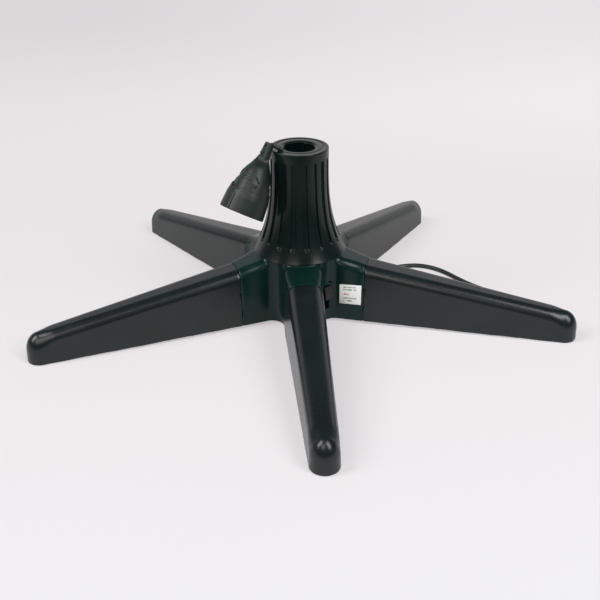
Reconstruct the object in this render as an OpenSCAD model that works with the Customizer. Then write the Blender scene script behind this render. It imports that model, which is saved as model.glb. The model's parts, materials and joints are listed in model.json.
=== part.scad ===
// Rotating stand for an artificial tree: five plug-in legs round a motorised hub.
// Millimetres, +Z up. The origin is on the floor, under the axis of rotation.
// The front leg points along -Y.

/* [Legs] */
// Radius of the circle that the leg tips reach
leg_tip_r = 300; // [290:1:330]
// Width of a leg at floor level, where it leaves the hub
leg_root_w = 41; // [39:0.5:41.5]
// Width of a leg at floor level, at its round tip
leg_tip_w = 28.2; // [26:0.2:34]
// Height of a leg's top where it leaves the hub
leg_root_h = 66; // [64:0.1:67]
// Height of a leg's top over its foot
leg_tip_h = 32.1; // [28:0.1:40]
// Wall of the leg shells
leg_wall = 2.6; // [2:0.1:3.5]
// How much each side of a leg leans in, per millimetre of height
leg_draft = 0.04; // [0.02:0.005:0.06]
// Rounding of a leg's top edges at the hub
leg_edge_r = 10; // [7:0.5:12]
// Rounding of a leg's top edges at the tip
leg_tip_edge_r = 11; // [8:0.5:12]
// Lower edge of a leg above the floor, at its tip
leg_tip_gap = 0.8; // [0.6:0.1:2]

/* [Leg tongues] */
// Width of the tongue that plugs a leg into the hub
tongue_w = 28; // [24:0.5:30]
// Height of the tongue
tongue_h = 26; // [22:0.5:27]
// Lower face of the tongue above the floor
tongue_z = 34; // [33:0.5:36]
// How far the tongue reaches into the hub
tongue_l = 38.5; // [30:0.5:38.5]
// Wall of the hollow tongue
tongue_wall = 2.5; // [2:0.1:3]
// Clearance round a tongue in its socket
tongue_gap = 0.3; // [0.2:0.05:0.5]

/* [Feet] */
// Radius of the rubber foot pads
pad_r = 10; // [7:0.5:11]
// Thickness of the foot pads
pad_t = 4; // [2.5:0.5:5]
// Radius of the stem that holds a pad
pad_stem_r = 3; // [2:0.25:4]
// Length of the pad stem
pad_stem_l = 8; // [5:0.5:12]

/* [Hub] */
// Gap from the floor to the hub's lower edge
floor_gap = 3.5; // [3:0.1:4.5]
// Height of the hub housing, from its lower edge to its rim
hub_h = 73.7; // [73.2:0.1:76]
// Radius of the hub's rim, under the collar
hub_r = 47.5; // [46.8:0.1:48]
// Wall of the hub housing
hub_wall = 2.5; // [2:0.1:2.5]
// Distance from the axis to the seam between stub and leg
seam_r = 75; // [74:0.5:85]
// Width of the stubs that take the legs
stub_w = 42; // [42:0.5:44]
// How far the stub tops lie under the rim
stub_drop = 2.2; // [1.5:0.1:3]
// Slope of the stub tops
stub_slope = 16.8; // [12:0.1:18]
// Rounding of the stubs' top edges
stub_edge_r = 10; // [7:0.5:11]
// Radius of the hollow between two stubs
valley_r = 13; // [12:0.5:14]
// Depth from the rim down to the deck that carries the ball race
race_pocket = 3.7; // [3.5:0.1:4]
// Thickness of the deck
deck_t = 3.5; // [3:0.1:4.5]
// Radius of the bearing boss under the deck
boss_r = 13; // [12.5:0.1:13.5]
// Length of the bearing boss, from the deck's top
boss_l = 27; // [20:0.5:27]
// Thickness of the base plate
plate_t = 2; // [1.6:0.1:2.5]

/* [Collar] */
// Gap between the hub's rim and the collar
collar_gap = 0.8; // [0.5:0.1:1.2]
// Height of the collar
collar_h = 111.5; // [100:0.5:130]
// Radius of the collar's lower edge
collar_base_r = 48.3; // [47.8:0.1:50]
// Radius of the collar's neck
collar_neck_r = 30.8; // [29.2:0.1:33]
// How quickly the collar narrows; higher is quicker
collar_curve = 3.4; // [2.8:0.1:3.8]
// Wall of the collar
collar_wall = 3; // [2.6:0.1:3.4]
// Rounding of the collar's top edge
collar_edge_r = 2; // [1:0.25:2.5]
// Number of flutes round the collar
flute_count = 18; // [9:1:24]
// Width of a flute at its foot
flute_w = 6.4; // [4:0.1:8]
// Width of a flute at its top
flute_top_w = 5; // [3:0.1:6]
// Depth of the flutes
flute_d = 1.2; // [0.6:0.1:1.6]
// Height of the flutes' lower ends above the collar's lower edge
flute_foot = 11; // [9:0.5:16]
// Distance from the collar's top down to the flutes' upper ends
flute_head = 15; // [10:0.5:25]

/* [Pole socket] */
// Radius of the bore that holds the tree's pole
pole_r = 16.8; // [15:0.1:17]
// Wall of the sleeve round the pole
sleeve_wall = 2.5; // [1.8:0.1:2.5]
// Radius of the sleeve's flange in the collar's top
flange_r = 24.6; // [24.5:0.1:24.9]
// Thickness of that flange
flange_t = 2.2; // [1.6:0.1:3]
// Radius of the sleeve's foot
foot_r = 35.5; // [35.2:0.1:35.8]
// Thickness of the sleeve's foot
foot_t = 4; // [3.5:0.1:4]

/* [Spindle and ball race] */
// Radius of the spindle
spindle_r = 8; // [6:0.25:8.5]
// Running clearance of the spindle in its bush
bush_gap = 0.05; // [0.02:0.01:0.1]
// Outer radius of the bush
bush_r = 10.5; // [10.2:0.1:11]
// Radius of the race balls
ball_r = 3; // [2.9:0.05:3.1]
// Number of race balls
ball_count = 20; // [8:1:24]
// Radius of the circle that the balls run on
race_r = 40; // [39.8:0.1:40.2]
// Width of the race rings
race_w = 7; // [6.4:0.1:7.2]
// Thickness of the race rings
race_t = 2; // [1.8:0.1:2.2]
// Depth that a ball sinks into each race ring
race_groove = 0.8; // [0.6:0.05:0.9]

/* [Drive] */
// Size of the gear teeth (module)
gear_m = 1; // [0.9:0.05:1]
// Teeth on the spindle's gear
gear_teeth = 36; // [30:1:37]
// Teeth on the motor's pinion
pinion_teeth = 14; // [12:1:15]
// Width of the spindle's gear
gear_w = 7; // [5:0.5:8]
// Radius of the motor's can
motor_r = 23; // [20:0.5:23.5]
// Height of the motor's can
motor_h = 21; // [15:0.5:21]
// Radius of the motor's shaft
motor_shaft_r = 2.5; // [2:0.1:3]
// Distance from the can's centre to its shaft
motor_shaft_off = 8; // [6:0.5:10]

/* [Switch] */
// Width of the switch cap
cap_w = 11; // [8:0.5:12]
// Height of the switch cap
cap_h = 14; // [10:0.5:15]
// Upper edge of the switch cap above the floor
cap_top_z = 45; // [42:0.5:50]
// How far the cap slides down
switch_travel = 12; // [8:0.5:12]
// Width of the slot that the cap slides in
slot_w = 5.5; // [4:0.25:7]

/* [Trailing socket] */
// Length of the trailing socket
outlet_l = 77; // [70:0.5:80]
// Radius of its mouth
outlet_r = 23.75; // [23:0.05:24]
// Length of the bend relief at its neck
outlet_neck_l = 16.5; // [12:0.5:20]
// Radius of the recess that takes a plug
recess_r = 19.75; // [19:0.05:20]
// Depth of that recess
recess_d = 17.5; // [15:0.5:18]
// Distance between the two contact holes
contact_pitch = 19; // [18:0.1:20]
// Radius of the contact holes
contact_r = 2.5; // [2.3:0.05:2.8]
// Radius of the lead that feeds it
lead_r = 2.4; // [2:0.1:2.5]

/* [Mains cord] */
// Diameter of the mains cord
cord_d = 5.4; // [4.5:0.1:5.4]
// Length of the cord's strain relief outside the hub
relief_l = 23; // [20:0.5:23]
// Height of the cord where it leaves the hub
relief_z = 10; // [9.5:0.1:10.5]
// Radius of the plug
plug_r = 18; // [17:0.25:18.5]
// Length of the plug's body
plug_l = 36; // [30:0.5:38]
// Length of the plug's bend relief
plug_neck_l = 18; // [14:0.5:20]
// Length of the plug's pins
pin_l = 19; // [17:0.5:20]
// Radius of the plug's pins
pin_r = 2.4; // [2:0.05:2.4]

/* [Hidden] */
$fn = 96;

// Directions of the legs and of the valleys between them
leg_count = 5;
leg_turn = 360 / leg_count;
front_a = 270;
right_a = front_a + leg_turn;
cord_a = right_a + leg_turn / 2;
switch_a = front_a + leg_turn / 2;
brush_a = front_a - 1.5 * leg_turn;
terminal_a = front_a - leg_turn / 2;

// Shared small clearances
ease = 0.05;
fit_gap = 0.2;

// Heights of the hub and what stands on it
rim_z = floor_gap + hub_h;
deck_z = rim_z - race_pocket;
stub_top_z = rim_z - stub_drop;
boss_z = deck_z - boss_l;
collar_z = rim_z + collar_gap;
collar_top_z = collar_z + collar_h;
ball_z = deck_z + race_t - race_groove + ball_r;
seat_z = ball_z + ball_r - race_groove + race_t;
foot_z = seat_z - foot_t;
cage_t = 1.4;
cage_w = 6.4;
cage_gap = 0.1;
plate_z = floor_gap + 0.5;
plate_top_z = plate_z + plate_t;
plate_gap = 1.2;

// Plan of the hub: stubs joined by concave valleys
valley_dist = (stub_w / 2 + valley_r) / sin(leg_turn / 2);
valley_wall_r = valley_dist - valley_r;
tangent_s = valley_dist * cos(leg_turn / 2);
valley_sweep = 90 - leg_turn / 2;
valley_steps = 11;

// Tongues and their sockets
socket_s = seam_r - tongue_l - tongue_gap;
socket_in_w = tongue_w + 2 * tongue_gap;
socket_in_h = tongue_h + 2 * tongue_gap;
socket_wall = 2;

// Legs
tip_s = leg_tip_r - leg_tip_w / 2;
bulkhead_t = 3;

// Drive
pitch_gear_r = gear_m * gear_teeth / 2;
pitch_pinion_r = gear_m * pinion_teeth / 2;
shaft_x = pitch_gear_r + pitch_pinion_r;
pressure_a = 20;
backlash = 0.16;
motor_a = 190;
motor_at = [shaft_x + motor_shaft_off * cos(motor_a), motor_shaft_off * sin(motor_a)];
motor_z = plate_top_z + 3;
motor_top_z = motor_z + motor_h;
ear_a = right_a;
ear_t = 1.5;
motor_touch_a = 276;
ear_dist = motor_r + 4.5;

// Terminal block and wires
block_s = 20;
block_t = 10;
block_w = 20;
block_end = block_s + block_t;
block_pitch = 6.4;
block_hole_z = 6;
wire_z = plate_top_z + block_hole_z;
wire_d = 3.6;
lead_wire_r = 1.1;
function by_motor(a, out) = [motor_at.x + (motor_r + out) * cos(a),
    motor_at.y + (motor_r + out) * sin(a), wire_z + 5];
gear_z = motor_top_z + 4.5;
spindle_z = motor_top_z + 1.5;
clip_t = 1.2;
clip_z = gear_z - clip_t - fit_gap;
gear_hub_r = spindle_r + 3;

// Sleeve, collar and slip rings
sleeve_r = pole_r + sleeve_wall;
lead_a = 210.5;
lead_at_r = sleeve_r + lead_r + fit_gap;
disc_t = 1.6;
ring_t = 0.3;
ring_w = 2;
ring_radii = [17, 22, 27];
disc_z = foot_z - disc_t;
ring_z = disc_z - ring_t;
screw_ring_r = 32.2;
screw_ring_count = 4;
brush_r = 1.5;
brush_l = 10;
brush_tip_z = ring_z - ease;
holder_z = deck_z - deck_t - 14;

// Fasteners
screw_r = 1.5;
screw_head_r = 2.8;
screw_head_h = 1.6;
cover_screw_s = 66;
cover_screw_l = 12;

// Switch
stem_h = 8;
stem_z = cap_top_z - cap_h - 1;
slot_z = stem_z - switch_travel - 0.5;
slot_top_z = stem_z + stem_h + 0.5;
switch_body_r = valley_wall_r - hub_wall - 6.8;

// Trailing socket: neck top, and the turn that lays its axis along the photographed slant
outlet_at = [-30.6, -10.9, 197.6];
outlet_tilt = [0, 31, 36.9];
outlet_view_a = 228;
contact_a = 48;
insert_t = 5;
insert_r = recess_r - 2.2;
insert_core_r = contact_pitch / 2 + contact_r + 1.6;
insert_l = pin_l + 2;
clip_w = 4;

// Cord: routes are round numbers chosen by hand, coil turns come from a formula
relief_tip_r = valley_wall_r + relief_l;
relief_hole_r = 4.4;
relief_flange_r = 6.3;
relief_in_r = valley_wall_r - hub_wall - 2.2;
coil_at = [116.5, 26.5];
coil_outer_r = 35.9;
coil_pitch = 5.85;
coil_loops = 6;
coil_start_a = 148;
coil_end_a = 162;
coil_rings = 24;
coil_low_z = cord_d / 2;
coil_high_z = coil_low_z + coil_pitch;
plug_face = [148, -7.5];
plug_a = right_a - 8.5;

function along(a, s, z) = [s * cos(a), s * sin(a), z];
function beside(a, s, y, z) = [s * cos(a) - y * sin(a), s * sin(a) + y * cos(a), z];
function heading(a) = [sin(a), -cos(a), 0];

coil_turns = coil_loops - (coil_end_a - coil_start_a) / 360;
function coil_r(t) = coil_outer_r - coil_pitch * min(t, coil_turns - t);
function coil_fall(t) = min(1, max(0, 2 * (t - coil_turns / 2) + 0.5));
function coil_z(t) =
    let (f = coil_fall(t)) coil_high_z - (coil_high_z - coil_low_z) * f * f * (3 - 2 * f);
function coil_point(t) =
    let (a = coil_start_a - 360 * t)
    [coil_at.x + coil_r(t) * cos(a), coil_at.y + coil_r(t) * sin(a), coil_z(t)];
coil_count = round(coil_turns * coil_rings);
coil_turn_points = [for (i = [0:coil_count]) coil_point(coil_turns * i / coil_count)];
coil_start = coil_turn_points[0] - cord_d * heading(coil_start_a);
coil_end = coil_turn_points[coil_count] + cord_d * heading(coil_end_a);
coil_points = concat([coil_start], coil_turn_points, [coil_end]);

inner_route = [
    along(cord_a, relief_tip_r, relief_z), [69.4, 23.4, 9.9], [73.8, 26.8, 9.6],
    [77.3, 31.1, 9.2], [80, 36.1, 8.8], coil_start];

plug_neck_end = [plug_face.x, plug_face.y, plug_r]
    + (plug_l + plug_neck_l) * [cos(plug_a), sin(plug_a), 0];
outer_route = [
    coil_end, [86.8, 52.5, 2.7], [90.3, 62, 2.7], [96, 70.5, 2.7], [103.5, 78, 2.7],
    [112.5, 84.2, 2.7], [122, 88.5, 2.7], [132, 91, 2.7], [142, 92.3, 2.7], [152.5, 91.3, 2.7],
    [164, 86.2, 2.7], [174, 77.8, 2.7], [182.5, 67, 2.7], [191, 53, 2.7], [200, 39.5, 2.7],
    [209.5, 28, 2.7], [219, 18, 2.7], [226.5, 10.6, 2.7], [233.3, 3.8, 2.9], [239, -5.6, 4.1],
    [240.2, -17, 6.6], [236.1, -27.5, 9.8], [227.7, -35.1, 13.2], [216.8, -38.3, 16.3],
    plug_neck_end + 2 * cord_d * [cos(plug_a), sin(plug_a), 0], plug_neck_end];

// Least distance between stretches of the coil that are at least half a loop apart
coil_least = min([for (i = [0:len(coil_points) - 1], j = [i + coil_rings / 2:len(coil_points) - 1])
    norm(coil_points[i] - coil_points[j])]);
echo(coil_least_gap = coil_least - cord_d);

// Evenly smoothed points through a route
function spline(a, b, c, d, t) = 0.5 * ((2 * b) + (c - a) * t + (2 * a - 5 * b + 4 * c - d) * t * t
    + (3 * b - a - 3 * c + d) * t * t * t);
function smooth(route, steps) = let (n = len(route)) concat(
    [for (i = [0:n - 2], k = [0:steps - 1])
        spline(route[max(i - 1, 0)], route[i], route[i + 1], route[min(i + 2, n - 1)], k / steps)],
    [route[n - 1]]);
function unit(v) = v / norm(v);

// Round tube along points; up is any direction that no stretch follows
module tube(points, r, sides, up = [0, 0, 1]) {
    n = len(points);
    rings = [for (i = [0:n - 1])
        let (t = unit(points[min(i + 1, n - 1)] - points[max(i - 1, 0)]),
             a = unit(cross(up, t)), b = cross(t, a))
        [for (k = [0:sides - 1])
            points[i] + r * (cos(360 * k / sides) * a + sin(360 * k / sides) * b)]];
    vertices = [for (ring = rings) for (p = ring) p];
    walls = [for (i = [0:n - 2], k = [0:sides - 1])
        let (k2 = (k + 1) % sides, p = i * sides + k, q = i * sides + k2)
        each [[p, q + sides, q], [p, p + sides, q + sides]]];
    ends = [for (k = [1:sides - 2])
        each [[0, k, k + 1], [(n - 1) * sides, (n - 1) * sides + k + 1, (n - 1) * sides + k]]];
    polyhedron(vertices, concat(walls, ends));
}

module at_leg(i) rotate(front_a + i * leg_turn) children();
module each_leg() for (i = [0:leg_count - 1]) at_leg(i) children();

// Upright section with round top edges: width w, from z0 up to z1, in the YZ plane
module round_top(w, z0, z1, r) {
    translate([-w / 2, z0]) square([w, z1 - z0 - r]);
    translate([-w / 2 + r, z0]) square([w - 2 * r, z1 - z0]);
    for (side = [-1, 1]) translate([side * (w / 2 - r), z1 - r]) circle(r);
}

// The same section as a slab t thick along X
module section_slab(w, z0, z1, r, t) rotate([90, 0, 90]) linear_extrude(t) round_top(w, z0, z1, r);

/* ---- hub ---- */

// Plan of the hub, with everything drawn in by inset; stubs end at reach
function turned(a, p) = [p.x * cos(a) - p.y * sin(a), p.x * sin(a) + p.y * cos(a)];
module hub_plan(inset, reach) polygon([for (i = [0:leg_count - 1]) each concat(
    [for (side = [-1, 1]) turned(front_a + i * leg_turn, [reach, side * (stub_w / 2 - inset)])],
    [for (k = [0:valley_steps]) let (a = 180 + valley_sweep - 2 * valley_sweep * k / valley_steps)
        turned(front_a + (i + 0.5) * leg_turn,
            [valley_dist + (valley_r + inset) * cos(a), (valley_r + inset) * sin(a)])])]);

// One stub's sloping solid: a round-topped bar along the slope
module stub_bar(inset) {
    w = stub_w - 2 * inset;
    translate([tangent_s, 0, stub_top_z - inset]) rotate([0, stub_slope, 0])
        translate([-tangent_s - 20, 0, 0]) section_slab(w, -90, 0, stub_edge_r - inset, 120);
}

// Solid that the hub's skin bounds, drawn in by inset
module hub_form(inset, reach, low, top) {
    intersection() {
        translate([0, 0, low]) linear_extrude(top - low) hub_plan(inset, tangent_s + 2);
        translate([0, 0, low - 1]) cylinder(r = hub_r - inset, h = top - low + 2);
    }
    intersection() {
        translate([0, 0, low]) linear_extrude(top - low) hub_plan(inset, reach);
        union() each_leg() intersection() {
            stub_bar(inset);
            translate([0, -stub_w, 0]) cube([reach, 2 * stub_w, stub_top_z - inset]);
        }
    }
}

// Small flare where a stub's top runs up to the rim
module rim_flare() intersection() {
    rotate_extrude() polygon([[0, stub_top_z - 6], [hub_r + 5, stub_top_z - 6],
        [hub_r + 4.4, stub_top_z - 1.1], [hub_r + 2.2, stub_top_z - 0.2],
        [hub_r + 0.8, stub_top_z + 0.9], [hub_r, rim_z - 0.2], [0, rim_z - 0.2]]);
    union() each_leg() translate([0, stub_edge_r - stub_w / 2, 0])
        cube([hub_r + 6, stub_w - 2 * stub_edge_r, rim_z]);
}

module socket_tube() {
    outer_w = socket_in_w + 2 * socket_wall;
    outer_h = socket_in_h + 2 * socket_wall;
    translate([socket_s - socket_wall, -outer_w / 2, tongue_z - tongue_gap - socket_wall])
        cube([seam_r - socket_s, outer_w, outer_h]);
}

module hub_housing() color([0.05, 0.12, 0.10]) {
    difference() {
        union() {
            difference() {
                union() {
                    hub_form(0, seam_r, floor_gap, rim_z);
                    rim_flare();
                }
                hub_form(hub_wall, seam_r - hub_wall, -1, deck_z - deck_t);
                translate([0, 0, deck_z]) cylinder(r = race_r + race_w / 2 + fit_gap, h = 10);
            }
            translate([0, 0, boss_z]) cylinder(r = boss_r, h = boss_l);
            each_leg() {
                socket_tube();
                translate([cover_screw_s, 0, plate_top_z])
                    cylinder(r = 4, h = tongue_z - tongue_gap - plate_top_z);
            }
        }
        // seat of the bush
        translate([0, 0, boss_z - 1]) cylinder(r = bush_r + ease, h = boss_l + 2);
        // sockets for the tongues
        each_leg() translate([socket_s, -socket_in_w / 2, tongue_z - tongue_gap])
            cube([seam_r, socket_in_w, socket_in_h]);
        // screw holes for the base plate
        each_leg() translate([cover_screw_s, 0, plate_z])
            cylinder(r = screw_r + ease, h = cover_screw_l + 2);
        // holes for the brushes
        rotate(brush_a) for (r = ring_radii) translate([r, 0, deck_z - deck_t - 1])
            cylinder(r = brush_r + 0.1, h = deck_t + 2);
        // slot of the switch, and the round dimple over it
        rotate(switch_a) {
            translate([valley_wall_r - 10, -slot_w / 2, slot_z])
                cube([20, slot_w, slot_top_z - slot_z]);
            translate([valley_wall_r - 0.5, 0, cap_top_z + 5]) rotate([0, 90, 0])
                cylinder(r = 1.2, h = 8);
        }
        // hole and flat seat of the cord's strain relief
        rotate(cord_a) {
            translate([valley_wall_r - 10, 0, relief_z]) rotate([0, 90, 0])
                cylinder(r = relief_hole_r + ease, h = 20);
            translate([valley_wall_r, 0, relief_z]) rotate([0, 90, 0])
                cylinder(r = relief_flange_r + fit_gap, h = 10);
        }
    }
}

// Flat cover that closes the hub from below and carries the motor
module base_plate() color([0.10, 0.13, 0.12]) difference() {
    union() {
        translate([0, 0, plate_z]) linear_extrude(plate_t)
            hub_plan(hub_wall + plate_gap, seam_r - hub_wall - plate_gap);
        for (side = [-1, 1]) translate(motor_ear(side, plate_z)) cylinder(r = 4, h = motor_z - plate_z);
    }
    each_leg() translate([cover_screw_s, 0, 0]) cylinder(r = screw_r + fit_gap, h = 20);
    for (side = [-1, 1]) translate(motor_ear(side, plate_z + 0.6)) cylinder(r = screw_r + ease, h = 20);
    // notch under the strain relief
    rotate(cord_a) translate([relief_in_r - plate_gap, -relief_flange_r - fit_gap, plate_z - 1])
        cube([10, 2 * (relief_flange_r + fit_gap), plate_t + 2]);
    // air slots under the motor
    for (k = [-2:2]) translate([motor_at.x + 7 * k, motor_at.y - 11, 0]) cube([2.5, 22, 20]);
}

module cover_screws() color([0.62, 0.63, 0.64]) each_leg()
    translate([cover_screw_s, 0, plate_z]) {
        cylinder(r = screw_r, h = cover_screw_l);
        translate([0, 0, -screw_head_h]) difference() {
            cylinder(r = screw_head_r, h = screw_head_h);
            cross_recess(0);
        }
    }

// Cross slot cut into a screw's head from the level z downwards
module cross_recess(z) for (a = [0, 90]) rotate(a) translate([-1.6, -0.35, z - 1]) cube([3.2, 0.7, 1.8]);

/* ---- bearing ---- */

module spindle_bush() color([0.72, 0.55, 0.30]) difference() {
    union() {
        translate([0, 0, boss_z]) cylinder(r = bush_r, h = boss_l);
        translate([0, 0, deck_z]) cylinder(r = bush_r + 1.5, h = 1);
    }
    translate([0, 0, boss_z - 1]) cylinder(r = spindle_r + bush_gap, h = boss_l + 4);
}

module race_ring(z) difference() {
    translate([0, 0, z]) cylinder(r = race_r + race_w / 2, h = race_t);
    translate([0, 0, z - 1]) cylinder(r = race_r - race_w / 2, h = race_t + 2);
    rotate_extrude() translate([race_r, ball_z]) circle(ball_r + 0.15, $fn = 48);
}

module lower_race() color([0.70, 0.71, 0.72]) race_ring(deck_z);

module upper_race() color([0.70, 0.71, 0.72]) race_ring(seat_z - race_t);

module race_balls() color([0.80, 0.81, 0.82]) for (i = [0:ball_count - 1])
    rotate(360 * i / ball_count) translate([race_r, 0, ball_z]) sphere(ball_r, $fn = 32);

module ball_cage() color([0.75, 0.73, 0.66]) difference() {
    translate([0, 0, ball_z - cage_t / 2]) cylinder(r = race_r + cage_w / 2, h = cage_t);
    translate([0, 0, ball_z - cage_t]) cylinder(r = race_r - cage_w / 2, h = 2 * cage_t);
    for (i = [0:ball_count - 1]) rotate(360 * i / ball_count)
        translate([race_r, 0, ball_z - cage_t]) cylinder(r = ball_r - 1.5 * cage_gap, h = 2 * cage_t);
    for (i = [0:ball_count - 1]) rotate(360 * i / ball_count)
        translate([race_r, 0, ball_z]) sphere(ball_r + cage_gap, $fn = 32);
}

module spindle() color([0.66, 0.67, 0.69]) difference() {
    translate([0, 0, spindle_z]) cylinder(r = spindle_r, h = seat_z - spindle_z);
    translate([0, 0, clip_z - 0.1]) difference() {
        cylinder(r = spindle_r + 1, h = clip_t + 0.2);
        translate([0, 0, -1]) cylinder(r = spindle_r - 1, h = clip_t + 3);
    }
}

module gear_clip() color([0.45, 0.46, 0.48]) translate([0, 0, clip_z]) difference() {
    cylinder(r = spindle_r + 2.5, h = clip_t);
    translate([0, 0, -1]) cylinder(r = spindle_r - 1 + ease, h = clip_t + 2);
    translate([-20, -spindle_r * 0.6, -1]) cube([20, spindle_r * 1.2, clip_t + 2]);
}

/* ---- gears ---- */

// Half of a tooth's angular width at radius r, for a wheel of that many teeth
function inv(a) = tan(a) * 180 / PI - a;
function half_tooth(teeth, r) =
    let (pitch_r = gear_m * teeth / 2, base_r = pitch_r * cos(pressure_a),
         a = r > base_r ? acos(base_r / r) : 0)
    90 / teeth - backlash / pitch_r * 90 / PI + inv(pressure_a) - inv(a);
function flank_radii(teeth) =
    let (pitch_r = gear_m * teeth / 2, base_r = pitch_r * cos(pressure_a), tip_r = pitch_r + 0.92 * gear_m,
         low = max(base_r, pitch_r - 0.9 * gear_m))
    [for (k = [0:5]) low + (tip_r - low) * k / 5];
function tooth(teeth, a) =
    let (root_r = gear_m * (teeth / 2 - 1.25), radii = flank_radii(teeth),
         side = [for (r = radii) [r, half_tooth(teeth, r)]], foot = half_tooth(teeth, radii[0]))
    concat([[root_r, a - foot - 1.5]], [for (p = side) [p[0], a - p[1]]],
        [for (k = [5:-1:0]) [side[k][0], a + side[k][1]]], [[root_r, a + foot + 1.5]]);

module toothed_wheel(teeth, width, phase)
    linear_extrude(width) polygon([for (i = [0:teeth - 1])
        each [for (p = tooth(teeth, phase + 360 * i / teeth)) [p[0] * cos(p[1]), p[0] * sin(p[1])]]]);

module drive_gear() color([0.86, 0.85, 0.80]) difference() {
    union() {
        translate([0, 0, gear_z]) toothed_wheel(gear_teeth, gear_w, 0);
        translate([0, 0, gear_z]) cylinder(r = gear_hub_r, h = boss_z - 0.5 - gear_z);
    }
    translate([0, 0, gear_z - 1]) cylinder(r = spindle_r + ease, h = boss_z - gear_z + 2);
}

module motor_pinion() color([0.78, 0.66, 0.40]) translate([shaft_x, 0, gear_z - 1]) difference() {
    toothed_wheel(pinion_teeth, gear_w + 2, 180 + 180 / pinion_teeth);
    translate([0, 0, -1]) cylinder(r = motor_shaft_r + ease, h = gear_w + 4);
}

module motor_shaft() color([0.70, 0.71, 0.73]) translate([shaft_x, 0, motor_top_z - 4])
    cylinder(r = motor_shaft_r, h = gear_z + gear_w + 1.5 - motor_top_z + 4);

/* ---- motor ---- */

function motor_ear(side, z) =
    [motor_at.x + side * ear_dist * cos(ear_a), motor_at.y + side * ear_dist * sin(ear_a), z];

module motor_can() color([0.66, 0.66, 0.62]) difference() {
    union() {
        translate([motor_at.x, motor_at.y, motor_z]) cylinder(r = motor_r, h = motor_h);
        for (side = [-1, 1]) translate(motor_ear(side, motor_z)) cylinder(r = 4, h = ear_t);
        translate([motor_at.x, motor_at.y, motor_z]) rotate(ear_a)
            translate([-ear_dist, -3.5, 0]) cube([2 * ear_dist, 7, ear_t]);
        translate([shaft_x, 0, motor_top_z - 1]) cylinder(r = 6, h = 2.5);
    }
    for (side = [-1, 1]) translate(motor_ear(side, motor_z - 1))
        cylinder(r = screw_r + fit_gap, h = ear_t + 2);
    translate([shaft_x, 0, motor_top_z - 4.2]) cylinder(r = motor_shaft_r + ease, h = 10);
    // rolled bead round the can
    translate([motor_at.x, motor_at.y, motor_top_z - 3]) rotate_extrude()
        translate([motor_r + 0.4, 0]) circle(0.9, $fn = 24);
}

module motor_screws() color([0.62, 0.63, 0.64]) for (side = [-1, 1])
    translate(motor_ear(side, motor_z + ear_t)) {
        translate([0, 0, -4]) cylinder(r = screw_r, h = 4);
        difference() {
            cylinder(r = screw_head_r, h = screw_head_h);
            cross_recess(screw_head_h);
        }
    }

/* ---- collar and sleeve ---- */

// Collar's outer radius at a height above its lower edge
function collar_r(t) = collar_neck_r
    + (collar_base_r - collar_neck_r) * pow(max(0, 1 - t / collar_h), collar_curve);

// Solid of the collar's outline, grown outwards by grow, between two heights above its edge
module collar_form(grow, t0, t1, steps = 14) translate([0, 0, collar_z]) rotate_extrude()
    polygon(concat([[0, t0]],
        [for (k = [0:steps]) let (t = t0 + (t1 - t0) * pow(k / steps, 1.3)) [collar_r(t) + grow, t]],
        [[0, t1]]));

// Radial prism with the outline of one flute
module flute_prism() {
    low = collar_z + flute_foot + flute_w / 2;
    high = collar_top_z - flute_head - flute_top_w / 2;
    rotate([90, 0, 90]) linear_extrude(collar_base_r + 10) {
        translate([0, low]) circle(d = flute_w, $fn = 32);
        translate([0, high]) circle(d = flute_top_w, $fn = 32);
        polygon([[-flute_w / 2, low], [flute_w / 2, low], [flute_top_w / 2, high],
            [-flute_top_w / 2, high]]);
    }
}

module flutes() intersection() {
    difference() {
        translate([0, 0, collar_z + flute_foot - 4])
            cylinder(r = collar_base_r + 2, h = collar_h - flute_foot - flute_head + 8);
        collar_form(-flute_d, flute_foot - 5, collar_h - flute_head + 5, 9);
    }
    for (i = [0:flute_count - 1]) rotate(front_a + 6 + 360 * i / flute_count) flute_prism();
}

module lead_hole(r, z0, z1) rotate(lead_a) translate([lead_at_r, 0, z0]) cylinder(r = r, h = z1 - z0);

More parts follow.
